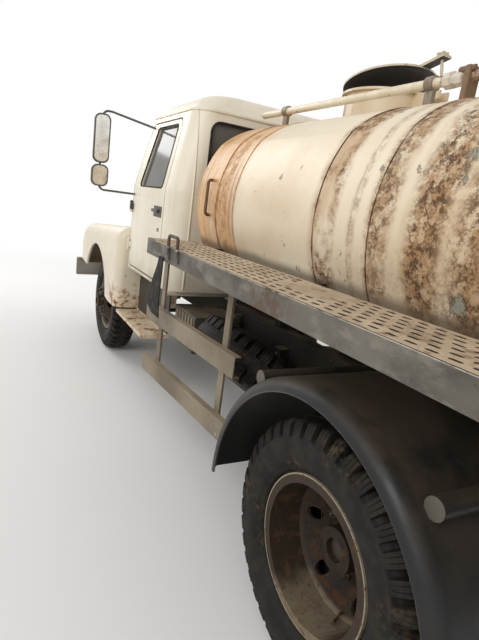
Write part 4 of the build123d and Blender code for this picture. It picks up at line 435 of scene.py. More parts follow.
# Columns: distance from the middle of the tread, radius on a lug, the same two in a groove
tyre_rows = (
    (0.000, 0.4750, 0.000, 0.4750), (0.022, 0.4745, 0.022, 0.4745), (0.026, 0.4680, 0.026, 0.4680),
    (0.034, 0.4680, 0.034, 0.4680), (0.038, 0.4735, 0.037, 0.4660), (0.052, 0.4722, 0.047, 0.4430),
    (0.078, 0.4690, 0.068, 0.4370), (0.087, 0.4665, 0.076, 0.4330), (0.093, 0.4600, 0.083, 0.4290),
    (0.102, 0.4430, 0.090, 0.4240), (0.1070, 0.4300, 0.0960, 0.4190), (0.1105, 0.4190, 0.1020, 0.4140),
    (0.1120, 0.4130, 0.1105, 0.4105), (0.1150, 0.4080, 0.1150, 0.4080), (0.1165, 0.4050, 0.1165, 0.4050),
    (0.1150, 0.4020, 0.1150, 0.4020), (0.1155, 0.3950, 0.1155, 0.3950), (0.1170, 0.3735, 0.1170, 0.3735),
    (0.1150, 0.3450, 0.1150, 0.3450), (0.1100, 0.3220, 0.1100, 0.3220), (0.1050, 0.3120, 0.1050, 0.3120),
    (0.1020, 0.3100, 0.1020, 0.3100), (0.0960, 0.3000, 0.0960, 0.3000), (0.0880, 0.2930, 0.0880, 0.2930),
    (0.0760, 0.2890, 0.0760, 0.2890), (0.0760, 0.2560, 0.0760, 0.2560),
)
# Columns: share of one lug's pitch, how deep it is cut there: 0 on the lug, 1 in the groove
lug_columns = ((0.0, 0), (0.17, 0), (0.19, 0.12), (0.21, 0), (0.40, 0), (0.42, 0.12), (0.44, 0), (0.60, 0),
               (0.66, 1), (0.80, 1), (0.94, 1), (1.0, 0))
lug_foot_radius = 0.4095
wheel_height = 0.475
front_axle, front_wheel_out = 2.12, 0.815
rear_axle, rear_wheel_out, twin_offset = -1.65, 0.8125, 0.139
spare_place, spare_lean = (-0.47, 0.56, 0.655), 35
dull_shine = 0.2
tyre_rubber, shader, place = new_material("tyre_rubber", 0.72, shine=dull_shine)
mud = grain(place, 7, 5, shift=3).above(0.46, 0.76)
cover = mottled(place, 16, 5, 0.35, 0.75, (0.009, 0.008, 0.007), (0.024, 0.019, 0.014))
upper = grain(place, 45, 4, shift=7).above(0.45, 0.62)
cover = cover.tint((0.12, 0.085, 0.048), mud * upper * 0.6)
coat(shader, cover, mud * 0.25 + 0.6, grain(place, 90, 4) + mud * 0.6, 0.0009)
lug_rubber, shader, place = new_material("lug_rubber", 0.85, shine=dull_shine)
cover = mottled(place, 22, 5, 0.35, 0.70, (0.040, 0.031, 0.020), (0.165, 0.120, 0.070), 2)
cover = cover.tint((0.016, 0.014, 0.012), grain(place, 60, 3, shift=5).above(0.50, 0.62))
coat(shader, cover, relief=grain(place, 120, 4), depth=0.0018)


def build_ring(root, values):
    """Tiles in a ring about a line across the lorry."""
    turn = root.maths("DIVIDE", root.node("GeometryNodeInputIndex") * (2 * math.pi), values["Count"])
    turned = root.node("ShaderNodeCombineXYZ", sockets={"Y": turn})
    ring = placed(root, line_of(root, values["Count"], (0.0, 0.0, 0.0)), values["Tile"], turned)
    return root.node("GeometryNodeTransform", sockets={"Geometry": ring, "Translation": values["Centre"]})


ring_tree = repeat_tree("ring_of", {"Tile": None, "Count": int, "Centre": tuple}, build_ring)


def tyre_sector(name, middles):
    """One pitch of lug and groove for tyres whose middles are at these places along the axle."""
    profile = [(y, lug, gy, groove) for y, lug, gy, groove in reversed(tyre_rows)]
    profile = [(-y, lug, -gy, groove) for y, lug, gy, groove in profile] + list(tyre_rows[1:])
    points, faces = [], []
    for middle in middles:
        faces += skin(len(lug_columns), len(profile), "open", len(points))
        for share, cut in lug_columns:
            angle = 2 * math.pi * share / lug_count
            for y, lug, gy, groove in profile:
                across, radius = y + (gy - y) * cut, lug + (groove - lug) * cut
                points.append((radius * math.sin(angle), middle + across, radius * math.cos(angle)))
    return mesh_object(name, points, faces)


def finish_tyre(tyre, centre, axis_turn=None):
    """Gives the lugs of a tyre their own muddy rubber, and tilts the spare."""
    middle = Vector(centre)
    tyre.data.materials.append(lug_rubber)
    for face in tyre.data.polygons:
        away = face.center - middle
        if math.hypot(away.x, away.z) > lug_foot_radius:
            face.material_index = 1
    if axis_turn:
        tyre.data.transform(axis_turn)


single, twins = (0.0,), (-twin_offset, twin_offset)
for node, body, middles, centre in (
    ("wheel_front_left_tyre", "wheel_front_left", single, (front_axle, front_wheel_out, wheel_height)),
    ("wheel_front_right_tyre", "wheel_front_right", single, (front_axle, -front_wheel_out, wheel_height)),
    ("wheel_rear_left_tyres", "wheel_rear_left", twins, (rear_axle, rear_wheel_out, wheel_height)),
    ("wheel_rear_right_tyres", "wheel_rear_right", twins, (rear_axle, -rear_wheel_out, wheel_height)),
    ("spare_tyre", "chassis", single, (0.0, 0.0, 0.0)),
):
    sector = tyre_sector("tyre_sector", middles)
    tyre = repeated(f"{node}_tread", ring_tree, {
        "Tile": sector, "Count": lug_count, "Centre": centre, "Finish": tyre_rubber}, body)
    turn_outwards(tyre)
    tilt = None
    if node == "spare_tyre":
        tilt = Matrix.Translation(spare_place) @ Matrix.Rotation(math.radians(90 + spare_lean), 4, "X")
    finish_tyre(tyre, centre, tilt)
    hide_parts(node)


# Rims: pressed steel discs welded into split rims, sprayed grey brown and rusting in their dish.
# The nuts clamp the twin discs, and a brass valve with its rubber cap reaches out of the outer rim.
def rim_paint(name, axle_x):
    """Rim paint by the distance from the axle: a bright worn flange, a rusty dish painted near black as
    shade, and a paler patch painted as light low on the barrel.
    """
    material, shader, place = new_material(name, shine=dull_shine)
    along, _, height = axes(place)
    out_x, out_z = along - axle_x, height - wheel_height
    radius = (out_x * out_x + out_z * out_z) ** 0.5
    flange = radius.above(0.2745, 0.2775)
    barrel = radius.above(0.222, 0.240)
    # Near black over the disc and barrel: painted shade in the deep dish, over the rim's own grey brown
    # paint.
    cover = mottled(place, 5, 5, 0.36, 0.66, (0.032, 0.023, 0.015), (0.012, 0.008, 0.006))
    cover = cover.tint((0.040, 0.029, 0.019), barrel * 0.8)
    # A paler patch low on the barrel: painted light where it falls into the dish.
    painted_light_low_barrel = 1 - (out_z + grain(place, 6, 3, shift=4) * 0.10).above(-0.20, -0.13)
    cover = cover.tint((0.24, 0.195, 0.130), barrel * painted_light_low_barrel * 0.7)
    cover = cover.tint((0.36, 0.31, 0.22), flange * 0.8)
    rust = grain(place, 14, 6, shift=2, rough=0.75).above(0.50, 0.62)
    freckle = grain(place, 60, 4, shift=6, rough=0.8).above(0.56, 0.62)
    cover = cover.tint((0.13, 0.060, 0.024), rust * 0.45).tint(rust_dark, freckle * 0.7)
    coat(shader, cover, rust * 0.35 + 0.5, grain(place, 70, 4, shift=1) + rust * 0.6, 0.0012)
    return material


dress(rim_paint("rear_rim_paint", rear_axle), "wheel_rear_left_rims", "wheel_rear_right_rims")
dress(rim_paint("front_rim_paint", front_axle), "wheel_front_left_rim", "wheel_front_right_rim")
spare_rim_paint = worn_paint("spare_rim_paint", (0.07, 0.055, 0.040), (0.030, 0.022, 0.016),
                             0.6, 0.8, 0.2, 0.7, 0.2)
dress(spare_rim_paint, "spare_rim")

# Columns: radius, how far out
nut_profile = ((0.017, 0.0), (0.017, 0.016), (0.013, 0.019), (0.009, 0.019), (0.009, 0.028), (0.006, 0.030))
nut_count = 10
# Columns: axle, its place, how far out the discs' faces are, the radius of the nuts' circle
nut_rows = (("rear", rear_axle, 0.8235, 0.131), ("front", front_axle, 0.9530, 0.121))
for axle, axle_x, face_out, circle in nut_rows:
    for side, sign in both_sides:
        nut = turned_tile("nut", [(radius, sign * height) for radius, height in nut_profile], 6)
        nut.data.transform(Matrix.Translation((0, sign * face_out, circle)))
        repeated(f"wheel_{axle}_{side}_nuts", ring_tree, {
            "Tile": nut, "Count": nut_count, "Centre": (axle_x, 0.0, wheel_height), "Finish": rusty_iron},
            f"wheel_{axle}_{side}")


def tube(name, line, radius, sides=10, closed=False):
    """A round bar or strip that follows a line of points, with flat ends unless it closes on itself."""
    line = [Vector(point) for point in line]
    count = len(line)
    points, aside = [], None
    for index, point in enumerate(line):
        before = line[index - 1] if index or closed else point
        after = line[(index + 1) % count] if index < count - 1 or closed else point
        along = (after - before).normalized()
        if aside is None:
            aside = along.orthogonal().normalized()
        aside = (aside - along * aside.dot(along)).normalized()
        up = along.cross(aside)
        for side in range(sides):
            angle = 2 * math.pi * side / sides
            points.append(point + (aside * math.cos(angle) + up * math.sin(angle)) * radius)
    made = mesh_object(name, points, skin(count, sides, "joined" if closed else "capped"))
    turn_outwards(made)
    made.data.shade_smooth()
    made.data.set_sharp_from_angle(angle=math.radians(50))
    return made


def bend(corners, radius, steps=6, closed=False):
    """The points of a line of straight runs whose corners are rounded."""
    corners = [Vector(corner) for corner in corners]
    count = len(corners)
    points = []
    for index, corner in enumerate(corners):
        if not closed and index in (0, count - 1):
            points.append(corner)
            continue
        back = (corners[index - 1] - corner).normalized()
        on = (corners[(index + 1) % count] - corner).normalized()
        half = math.acos(back.dot(on)) / 2
        reach, sweep = radius / math.tan(half), math.pi - 2 * half
        centre = corner + (back + on).normalized() * radius / math.sin(half)
        first, last = corner + back * reach - centre, corner + on * reach - centre
        for step in range(steps + 1):
            share = step / steps
            start, end = math.sin((1 - share) * sweep), math.sin(share * sweep)
            points.append(centre + (first * start + last * end) / math.sin(sweep))
    return points


def fit(piece, material, body):
    """Gives a piece its finish, the body that carries it and its paint slot."""
    piece.data.materials.append(material)
    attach(piece, body)


dull_brass, shader, place = new_material("dull_brass", 0.5, 0.6)
feed(shader, "Base Color", mottled(place, 60, 4, 0.4, 0.6, (0.20, 0.14, 0.06), (0.05, 0.035, 0.02)))
valve_height, valve_radius, valve_bend = 0.262, 0.005, 0.02
valve_corners = ((-1.72, 0.835), (-1.72, 0.905), (-1.745, 0.955))
for side, sign in both_sides:
    stem_line = bend([(x, sign * y, valve_height) for x, y in valve_corners], valve_bend)
    stem = tube(f"wheel_rear_{side}_valve", stem_line, valve_radius, 8)
    fit(stem, dull_brass, f"wheel_rear_{side}")


# Cab: pressed and welded sheet in cream enamel, smooth and little rusted, dirty towards its sills.
# The doors are pressings of the same sheet, and the bonnet, wings and grille frame are sprayed with it.
def cab_enamel(name, colour, faded, low_dirt, scabby=0.0):
    """Cream enamel with broad soft unevenness, rain streaks, road dirt low down and rust at the edges."""
    material, shader, place = new_material(name, shine=0.35)
    along, across, height = axes(place)
    cover = mottled(place, 1.4, 4, 0.35, 0.70, colour, faded)
    rain = grain(place, 9, 5, (1.6, 1.6, 0.12), 2).above(0.50, 0.78)
    cover = cover.tint((0.42, 0.34, 0.22), rain * 0.30)
    darker_low_down = (1 - (height + grain(place, 5, 5, shift=3) * 0.35).above(low_dirt, low_dirt + 0.45)) * 0.65
    cover = cover.tint((0.20, 0.15, 0.09), darker_low_down)
    scab_noise = grain(place, 13, 6, shift=5, rough=0.75)
    scabs = scab_noise.above(0.69, 0.71) * (1 - height.above(1.0, 1.5) * 0.75)
    halo = scab_noise.above(0.63, 0.72) * (1 - height.above(1.0, 1.5) * 0.8)
    cover = cover.tint(rust_orange, halo * 0.45).tint(rust_dark, scabs)
    if scabby:
        corner = (1 - along.above(1.42, 1.62)) * (1 - height.above(0.66, 0.86)) * scabby
        cover = cover.tint((0.50, 0.27, 0.10), corner * scab_noise.above(0.42, 0.60) * 0.7)
        cover = cover.tint((0.16, 0.070, 0.028), corner * scab_noise.above(0.535, 0.565))
    proud = abs(across).above(0.9665, 0.9675)
    handle_or_hinge = along.near(0.548, 0.07, 0.01) + along.near(1.18, 0.04, 0.01)
    fittings = height.near(1.49, 0.03, 0.01) * handle_or_hinge
    cover = cover.tint((0.060, 0.052, 0.042), fittings * proud)
    waves = grain(place, 2.2, 2, shift=9)
    relief = waves * 4 + grain(place, 55, 3) * 0.10 + scabs * 0.5 + halo * 0.2
    coat(shader, cover, (darker_low_down + scabs).above(0, 1) * 0.38 + 0.38, relief, 0.0012)
    return material


cab_cream = cab_enamel("cab_cream", (0.76, 0.70, 0.57), (0.66, 0.59, 0.46), 0.95)
dress(cab_cream, "cab_shell", "door_left", "door_right", "hood")
wing_cream = cab_enamel("wing_cream", (0.72, 0.64, 0.50), (0.60, 0.52, 0.38), 0.45, 1.0)
dress(wing_cream, "front_wings", "grille")

# Nearly opaque dark grey glass: the shade inside the cab and the reflections on the glass are painted into
# it.
window_glass, shader, place = new_material("window_glass", 0.10, shine=dull_shine)
feed(shader, "Base Color", mottled(place, 3, 3, 0.2, 0.8, (0.110, 0.105, 0.092), (0.140, 0.130, 0.110)))
feed(shader, "Alpha", grain(place, 5, 4).above(0.2, 0.9) * 0.10 + 0.88)
dress(window_glass, "cab_glass", "door_left_glass", "door_right_glass")

# Window rubbers: black strips that grip the glass in its opening, dull and cracked with age.
# The side windows lie on the wall above the belt, which leans in, and the windscreen leans back.
window_rubber, shader, place = new_material("window_rubber", 0.8, shine=dull_shine)
cover = mottled(place, 30, 4, 0.4, 0.65, (0.014, 0.013, 0.012), (0.045, 0.038, 0.028))
coat(shader, cover, relief=grain(place, 140, 3), depth=0.0006)
belt_height, wall_lean, screen_lean = 1.640, 0.093 / 0.509, 0.140 / 0.509
cab_half_width, cab_front, cab_back = 0.965, 1.300, 0.219
window_corner, door_window_corner = 0.06, 0.03
screen_rubber_radius, door_rubber_radius = 0.008, 0.005
rear_glass = [(cab_back, y, z) for y, z in ((-0.767, 1.70), (0.767, 1.70), (0.767, 2.086), (-0.767, 2.086))]
screen = [(cab_front - screen_lean * (z - belt_height), y, z)
          for y, z in ((-0.76, 1.70), (0.76, 1.70), (0.76, 2.095), (-0.76, 2.095))]
rubbers = [("rear_window_rubber", "chassis", bend(rear_glass, window_corner, closed=True)),
           ("windscreen_rubber", "chassis", bend(screen, window_corner, closed=True))]
for side, sign in both_sides:
    frame_corners = [(x, sign * (cab_half_width - wall_lean * (z - belt_height)), z)
                     for x, z in ((0.490, 1.644), (1.023, 1.644), (0.906, 2.067), (0.490, 2.067))]
    frame_line = bend(frame_corners, door_window_corner, closed=True)
    rubbers.append((f"door_{side}_window_rubber", f"door_{side}", frame_line))
for name, body, line in rubbers:
    radius = screen_rubber_radius if body == "chassis" else door_rubber_radius
    strip = tube(name, line, radius, 8, closed=True)
    fit(strip, window_rubber, body)

# Corner seams: the cab's back panel is rolled over the side panels in a bead down each rear corner.
# A tube under the sill behind the door steadies the cab on the frame.
seam_y, seam_radius, corner_radius, corner_x = 0.848, 0.007, 0.130, 0.350
sill_tube_x, sill_tube_height, sill_tube_radius = 0.26, 0.974, 0.017
seam_line = []
for z in (1.005, 1.30, belt_height, 1.75, 1.85, 1.95, 2.05, 2.14):
    corner_y = cab_half_width - wall_lean * max(0, z - belt_height) - corner_radius
    seam_line.append((corner_x - (corner_radius**2 - (seam_y - corner_y) ** 2) ** 0.5, seam_y, z))
for side, sign in both_sides:
    seam = tube(f"corner_seam_{side}", [(x, sign * y, z) for x, y, z in seam_line], seam_radius, 8)
    fit(seam, cab_cream, "chassis")
    sill_line = [(sill_tube_x, sign * y, sill_tube_height) for y in (0.45, 0.95)]
    sill_tube = tube(f"sill_tube_{side}", sill_line, sill_tube_radius, 12)
    fit(sill_tube, cab_cream, "chassis")

# Mirrors: sheet cases in dark enamel on bent tubes, with silvered glass that faces back to the driver.
# Each foot is a pressed plate under two bolts.
mirror_case = worn_paint("mirror_case", (0.055, 0.050, 0.042), (0.11, 0.095, 0.075),
                         0.5, 0.4, 0.1, 0.3, 0.1)
dress(mirror_case, "mirrors_left", "mirrors_right")
mirror_glass, shader, place = new_material("mirror_glass", 0.08, 0.9)
cover = mottled(place, 9, 4, 0.35, 0.8, (0.78, 0.77, 0.72), (0.55, 0.51, 0.43))
coat(shader, cover, grain(place, 12, 5, shift=3).above(0.4, 0.75) * 0.35 + 0.08)


def rounded_plate(name, x, thick, middle, width, height, radius, steps=5):
    """A flat plate across the lorry with rounded corners, its face at x and its back thick behind it."""
    y, z = middle
    corners = [(y - width / 2, z - height / 2), (y + width / 2, z - height / 2),
               (y + width / 2, z + height / 2), (y - width / 2, z + height / 2)]
    outline = bend([(0, *corner) for corner in corners], radius, steps, closed=True)
    points = [(face_x, point.y, point.z) for face_x in (x, x + thick) for point in outline]
    made = mesh_object(name, points, skin(2, len(outline), "capped"))
    turn_outwards(made)
    return made


mirror_x, mirror_out, silvered_thickness, silvered_corner = 1.1225, 1.25, 0.003, 0.036
# Columns: which glass, its middle height, its height and its width
mirror_rows = (("large", 1.945, 0.326, 0.098), ("small", 1.68, 0.138, 0.105))
for side, sign in both_sides:
    for which, middle_z, high, wide in mirror_rows:
        glass = rounded_plate(f"mirror_{side}_{which}_glass", mirror_x, silvered_thickness,
                              (sign * mirror_out, middle_z), wide, high, silvered_corner)
        fit(glass, mirror_glass, f"door_{side}")

# Locks: a small turned barrel below each handle, pressed into the door, its chrome gone dull and pitted.
# Its face is flat, with a bevelled edge.
# Columns: radius, how far out
lock_profile = ((0.014, 0.960), (0.014, 0.971), (0.010, 0.974), (0.003, 0.974))
lock_place = (0.498, 0, 1.365)
chrome, shader, place = new_material("dull_chrome", 0.3, 0.9)
feed(shader, "Base Color", mottled(place, 40, 4, 0.45, 0.65, (0.42, 0.40, 0.36), (0.12, 0.09, 0.06)))
for side, sign in both_sides:
    lock = turned_tile(f"door_{side}_lock", [(radius, sign * out) for radius, out in lock_profile], 14)
    lock.data.transform(Matrix.Translation(lock_place))
    fit(lock, chrome, f"door_{side}")

# Handle plate: a dark pressed dish behind each handle, screwed to the door from inside.
# Its enamel is worn through by hands.
def block(name, low, high, bevel, segments=3):
    """A closed box with rounded edges, from its lowest to its highest corner."""
    made = bpy.data.objects.new(name, bpy.data.meshes.new(name))
    bpy.context.collection.objects.link(made)
    work = bmesh.new()
    bmesh.ops.create_cube(work, size=1)
    size = Vector(high) - Vector(low)
    for point in work.verts:
        point.co = Vector(low) + Vector(((point.co.x + 0.5) * size.x, (point.co.y + 0.5) * size.y,
                                         (point.co.z + 0.5) * size.z))
    if bevel:
        bmesh.ops.bevel(work, geom=work.edges[:], offset=bevel, segments=segments, affect="EDGES",
                        profile=0.6)
    bmesh.ops.recalc_face_normals(work, faces=work.faces)
    work.to_mesh(made.data)
    work.free()
    made.data.shade_smooth()
    made.data.set_sharp_from_angle(angle=math.radians(40))
    return made


plate_back, plate_face = 0.9645, 0.9675
for side, sign in both_sides:
    inner, outer = sorted((sign * plate_back, sign * plate_face))
    plate = block(f"door_{side}_handle_plate", (0.455, inner, 1.448), (0.625, outer, 1.522), 0.0012, 2)
    fit(plate, mirror_case, f"door_{side}")

# Bench: two stuffed cushions in brown leathercloth on a painted base, the cloth pulled in at the edges.
# The cushions swell from their cut shape and settle on the base and on each other.
leathercloth, shader, place = new_material("leathercloth", 0.55)
cover = mottled(place, 6, 4, 0.35, 0.7, (0.075, 0.035, 0.020), (0.045, 0.022, 0.014))
cover = cover.tint((0.16, 0.11, 0.07), grain(place, 40, 5, shift=2).above(0.60, 0.70) * 0.6)
coat(shader, cover, relief=grain(place, 220, 3), depth=0.0008)


def stuff(cushion, voxel, cap):
    """Swells a cushion with cloth under pressure and holds each point to its cap."""
    bpy.context.view_layer.objects.active = cushion
    remesh = cushion.modifiers.new("remesh", "REMESH")
    remesh.mode = "VOXEL"
    remesh.voxel_size = voxel
    mesh = made_real(cushion)
    cushion.modifiers.clear()
    cushion.data = mesh
    start = [point.co.copy() for point in mesh.vertices]
    cloth = cushion.modifiers.new("cloth", "CLOTH")
    cloth.settings.use_pressure = True
    cloth.settings.uniform_pressure_force = 4
    cloth.settings.effector_weights.gravity = 0
    for number in range(1, 21):
        bpy.context.scene.frame_set(number)
    swollen = made_real(cushion)
    cushion.modifiers.clear()
    bpy.context.scene.frame_set(1)
    for point, moved, first in zip(mesh.vertices, swollen.vertices, start):
        step = moved.co - first
        point.co = first + step * min(1, cap / max(step.length, 1e-6))
    mesh.shade_smooth()


cushion_voxel, cushion_swell, cushion_fill = 0.012, 0.012, 0.6
# Columns: piece, lowest corner, highest corner, radius of its edges
cushion_rows = (
    ("seat_cushion", (0.335, -0.685, 1.300), (0.775, 0.685, 1.405), 0.034),
    ("seat_backrest", (0.335, -0.685, 1.425), (0.435, 0.685, 1.755), 0.034),
)
for name, low, high, round_edge in cushion_rows:
    cushion = block(name, low, high, round_edge, 4)
    stuff(cushion, cushion_voxel, cushion_swell)
    fit(cushion, leathercloth, "chassis")
seat_base = block("seat_base", (0.366, -0.658, 1.006), (0.744, 0.658, 1.292), 0.012)
fit(seat_base, chassis_black, "chassis")
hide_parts("seat_bench")

# Dashboard and wheel: a steel dash in grey green hammer enamel with two round instruments,
# and a moulded black steering wheel, worn shiny at its rim.
hammer_paint, shader, place = new_material("hammer_paint", 0.45)
cover = mottled(place, 30, 4, 0.35, 0.7, (0.25, 0.26, 0.22), (0.17, 0.17, 0.14))
coat(shader, cover, relief=grain(place, 70, 2), depth=0.0010)
dress(hammer_paint, "dashboard")
moulded_black, shader, place = new_material("moulded_black", 0.35)
cover = mottled(place, 20, 4, 0.4, 0.7, (0.018, 0.018, 0.018), (0.05, 0.045, 0.04))
coat(shader, cover, grain(place, 35, 4, shift=3).above(0.35, 0.7) * 0.3 + 0.28)
dress(moulded_black, "steering_wheel")

# Steps: a folded tread on an apron below each door, its cream paint worn off and rusting; the apron is
# painted near black as shade.
step_cream, shader, place = new_material("step_cream", 0.6)
tread = 1 - axes(place)[2].above(0.603, 0.612)
# Above the tread the step is painted near black: painted shade under the cab's sill.
cover = mottled(place, 5, 4, 0.35, 0.7, (0.030, 0.026, 0.020), (0.065, 0.052, 0.038))
cover = cover.tint((0.60, 0.50, 0.36), tread)
step_rust = grain(place, 11, 6, shift=2, rough=0.75)
cover = cover.tint(rust_orange, tread * step_rust.above(0.50, 0.60) * 0.7)
cover = cover.tint(rust_dark, step_rust.above(0.60, 0.63))
coat(shader, cover, relief=step_rust, depth=0.002)
dress(step_cream, "steps")

# Front: a channel bumper in faded grey enamel, fluted glass lamps in painted rims and a pressed grille.
bumper_grey = worn_paint("bumper_grey", (0.36, 0.34, 0.29), (0.25, 0.23, 0.19), 0.5, 0.5, 0.5, 0.5, 0.4)
dress(bumper_grey, "front_bumper")
lamp_glass, shader, place = new_material("lamp_glass", 0.12)
cover = mottled(place, 12, 3, 0.3, 0.8, (0.62, 0.62, 0.58), (0.40, 0.39, 0.35))
headlamp_flutes = 620.0
coat(shader, cover, relief=(axes(place)[1] * headlamp_flutes).sine(), depth=0.0012)
dress(lamp_glass, "headlamps")
lamp_front, lamp_out, lamp_height = 3.021, 0.70, 1.010
rim_circle, rim_thickness = 0.093, 0.010
for side, sign in both_sides:
    rim_line = [(lamp_front, sign * lamp_out + rim_circle * math.cos(math.radians(angle)),
                 lamp_height + rim_circle * math.sin(math.radians(angle))) for angle in range(0, 360, 9)]
    rim = tube(f"headlamp_rim_{side}", rim_line, rim_thickness, 10, closed=True)
    fit(rim, wing_cream, "chassis")

# Tank: a welded drum of oval section in cream enamel, brown with rust from its seams downwards.
# The front end is stained orange up to the second seam, and the paint flakes off in grey green chips.
# Columns: place of the seam along the lorry, how dark its line is, how far its stain goes
seam_rows = ((-0.234, 0.55, 0.4), (-0.444, 0.25, 0.2), (-1.154, 1.0, 1.0), (-1.366, 0.35, 0.3),
             (-1.466, 1.0, 0.8), (-2.900, 0.8, 0.8))
# Columns: place of a heavy rust run down the side, its half width, its weight
rust_run_rows = ((-1.70, 0.075, 1.0), (-1.90, 0.10, 0.9), (-2.20, 0.12, 0.8), (-2.55, 0.10, 0.8),
                 (-0.33, 0.05, 0.4))
# Columns: place of a large chip along the left side, its height, half its length, half its height
chip_rows = ((-0.838, 1.769, 0.022, 0.045), (-0.936, 1.481, 0.035, 0.050), (-0.768, 1.384, 0.025, 0.030),
             (-1.044, 1.365, 0.035, 0.050), (-1.448, 1.782, 0.035, 0.022), (-1.769, 1.768, 0.030, 0.060),
             (-1.850, 1.400, 0.040, 0.060), (-1.787, 1.842, 0.040, 0.035))
tank_cream, shader, place = new_material("tank_cream")
along, across, height = axes(place)
wander = grain(place, 2.2, 4, shift=3) - 0.5
along_wavy = along + wander * 0.10
cover = mottled(place, 1.5, 5, 0.36, 0.66, (0.70, 0.60, 0.44), (0.60, 0.47, 0.31), 1)
girth_runs = grain(place, 1.0, 6, (16, 1.5, 1.5), 2.0, 0.65)
older = 1 - along_wavy.above(-2.2, -1.1)
cover = cover.tint((0.44, 0.30, 0.17), older * girth_runs.above(0.42, 0.62) * 0.75)
orange_zone = along_wavy.above(-0.475, -0.425) * (1 - height.above(2.131, 2.134))
cover = cover.tint((0.64, 0.345, 0.125), orange_zone * girth_runs.above(0.26, 0.50) * 0.90)
fine_runs = grain(place, 1.0, 6, (34, 2.2, 2.2), 7.0)
cover = cover.tint((0.33, 0.15, 0.055), orange_zone * fine_runs.above(0.54, 0.64) * 0.8)
pits = grain(place, 42, 5, shift=1.7, rough=0.8)
blots = grain(place, 21, 7, shift=4.1, rough=0.82)
stain = orange_zone * 0.12
seam_line = orange_zone * 0.0
for seam, darkness, reach in seam_rows:
    stain = stain.larger(along.near(seam - 0.055 * reach, 0.03 * reach, 0.07 * reach) * reach)
    seam_line = seam_line.larger((along + wander * 0.012).near(seam - 0.006, 0.0005, 0.0035) * darkness)
for run, half, weight in rust_run_rows:
    stain = stain.larger((along_wavy + wander * 0.05).near(run, half * 0.4, half) * weight)
patchy = grain(place, 1.6, 4, shift=11).above(0.42, 0.58) + across.above(0.0, 0.5)
stain = stain * patchy.above(0, 1)
low_side = 1 - height.above(1.36, 1.62)
stain = stain.larger(low_side * older * 0.6)
stain_film = stain * grain(place, 1.0, 5, (9, 2.4, 2.4), 5.0).above(0.34, 0.62)
cover = cover.tint((0.40, 0.24, 0.11), stain_film * 0.70)
crust = stain * blots.above(0.42, 0.53) * grain(place, 3.2, 3, shift=6).above(0.34, 0.50)
cover = cover.tint((0.30, 0.150, 0.052), crust * 0.80)
cover = cover.tint((0.075, 0.034, 0.014), crust * pits.above(0.46, 0.54) * 0.95)
edge_zone = along_wavy.near(-0.46, 0.02, 0.06) + (1 - height.above(1.39, 1.47)) * 0.6
scattered = (pits + edge_zone * 0.045).above(0.655, 0.695) * (older * 0.5 + 0.5)
scattered = scattered * (grain(place, 2.4, 3, shift=8).above(0.46, 0.60) + edge_zone * 0.6).above(0, 1)
cover = cover.tint((0.14, 0.060, 0.024), scattered * 0.9)
chips = grain(place, 10.0, 7, (1.2, 1.0, 0.8), 5.3, 0.82)
for chip_x, chip_z, half_long, half_high in chip_rows:
    flake = along.near(chip_x, half_long * 0.3, half_long) * height.near(chip_z, half_high * 0.3, half_high)
    chips = chips + flake * across.above(0, 0.1) * 0.165
# Each chip has a dark brown rim: partly rust at the flake's edge, partly painted shade under the lifted
# paint.
chip_edge, chip_face = chips.above(0.642, 0.650), chips.above(0.668, 0.676)
cover = cover.tint((0.10, 0.055, 0.026), chip_edge * 0.85).tint((0.29, 0.29, 0.225), chip_face * 0.95)
seam_break = grain(place, 9, 5, shift=9).above(0.38, 0.56) * 0.70 + 0.30
cover = cover.tint((0.085, 0.030, 0.012), seam_line * seam_break)
cover = cover.tint((0.13, 0.060, 0.024), abs(across).above(0.8945, 0.8955))
# Below the deck's edge the tank is painted darker brown: partly dirt along the deck, partly painted shade
# where its side curves under.
darker_low_down = (1 - (height + wander * 0.05).above(1.355, 1.405)) * 0.75
cover = cover.tint((0.10, 0.065, 0.035), darker_low_down)
rough = (crust + scattered + stain_film * 0.6 + darker_low_down + chip_face * 0.5).above(0, 1)
dents = grain(place, 1.8, 2, shift=7)
relief = dents * 5 + crust * pits * 0.9 + scattered * 0.5 - chip_face * 0.5 + chip_edge * 0.25
coat(shader, cover, rough * 0.45 + 0.40, relief + grain(place, 75, 3) * 0.12, 0.0016)
dress(tank_cream, "tank_shell", "manhole_neck")

# Lid and filling pipe: a pressed cream lid, its downward faces painted dark as shade, and a welded pipe
# along the tank with a rusty clamp at its joint. Both are brush painted over older rust.
lid_cream, shader, place = new_material("lid_cream", 0.5)
cover = mottled(place, 5, 4, 0.35, 0.7, (0.58, 0.51, 0.38), (0.42, 0.35, 0.23))
# Faces that point down are painted dark grey: painted shade under the lid.
under = 1 - facing(place)[2].above(-0.75, -0.55)
lid_rust = grain(place, 16, 6, shift=3, rough=0.75)
cover = cover.tint(rust_orange, lid_rust.above(0.54, 0.62) * 0.5)
cover = cover.tint(rust_dark, lid_rust.above(0.62, 0.65) * 0.8)
cover = cover.tint((0.038, 0.039, 0.042), under)
coat(shader, cover, relief=lid_rust + grain(place, 90, 3) * 0.3, depth=0.0014)
dress(lid_cream, "manhole_lid")
pipe_across, pipe_height = 0.480, 2.162
pipe_cream, shader, place = new_material("pipe_cream", 0.45)
along, across, height = axes(place)
cover = mottled(place, 7, 4, 0.35, 0.7, (0.72, 0.64, 0.49), (0.58, 0.49, 0.34))
pipe_rust = grain(place, 26, 6, shift=3, rough=0.75)
joint_rust = along.near(-1.36, 0.04, 0.10)
cover = cover.tint(rust_brown, (joint_rust * 0.22 + pipe_rust).above(0.60, 0.66) * 0.85)
from_y, from_z = across - pipe_across, height - pipe_height
proud = (from_y * from_y + from_z * from_z).above(0.0205**2, 0.0215**2)
cover = cover.tint((0.10, 0.058, 0.030), proud * 0.8)
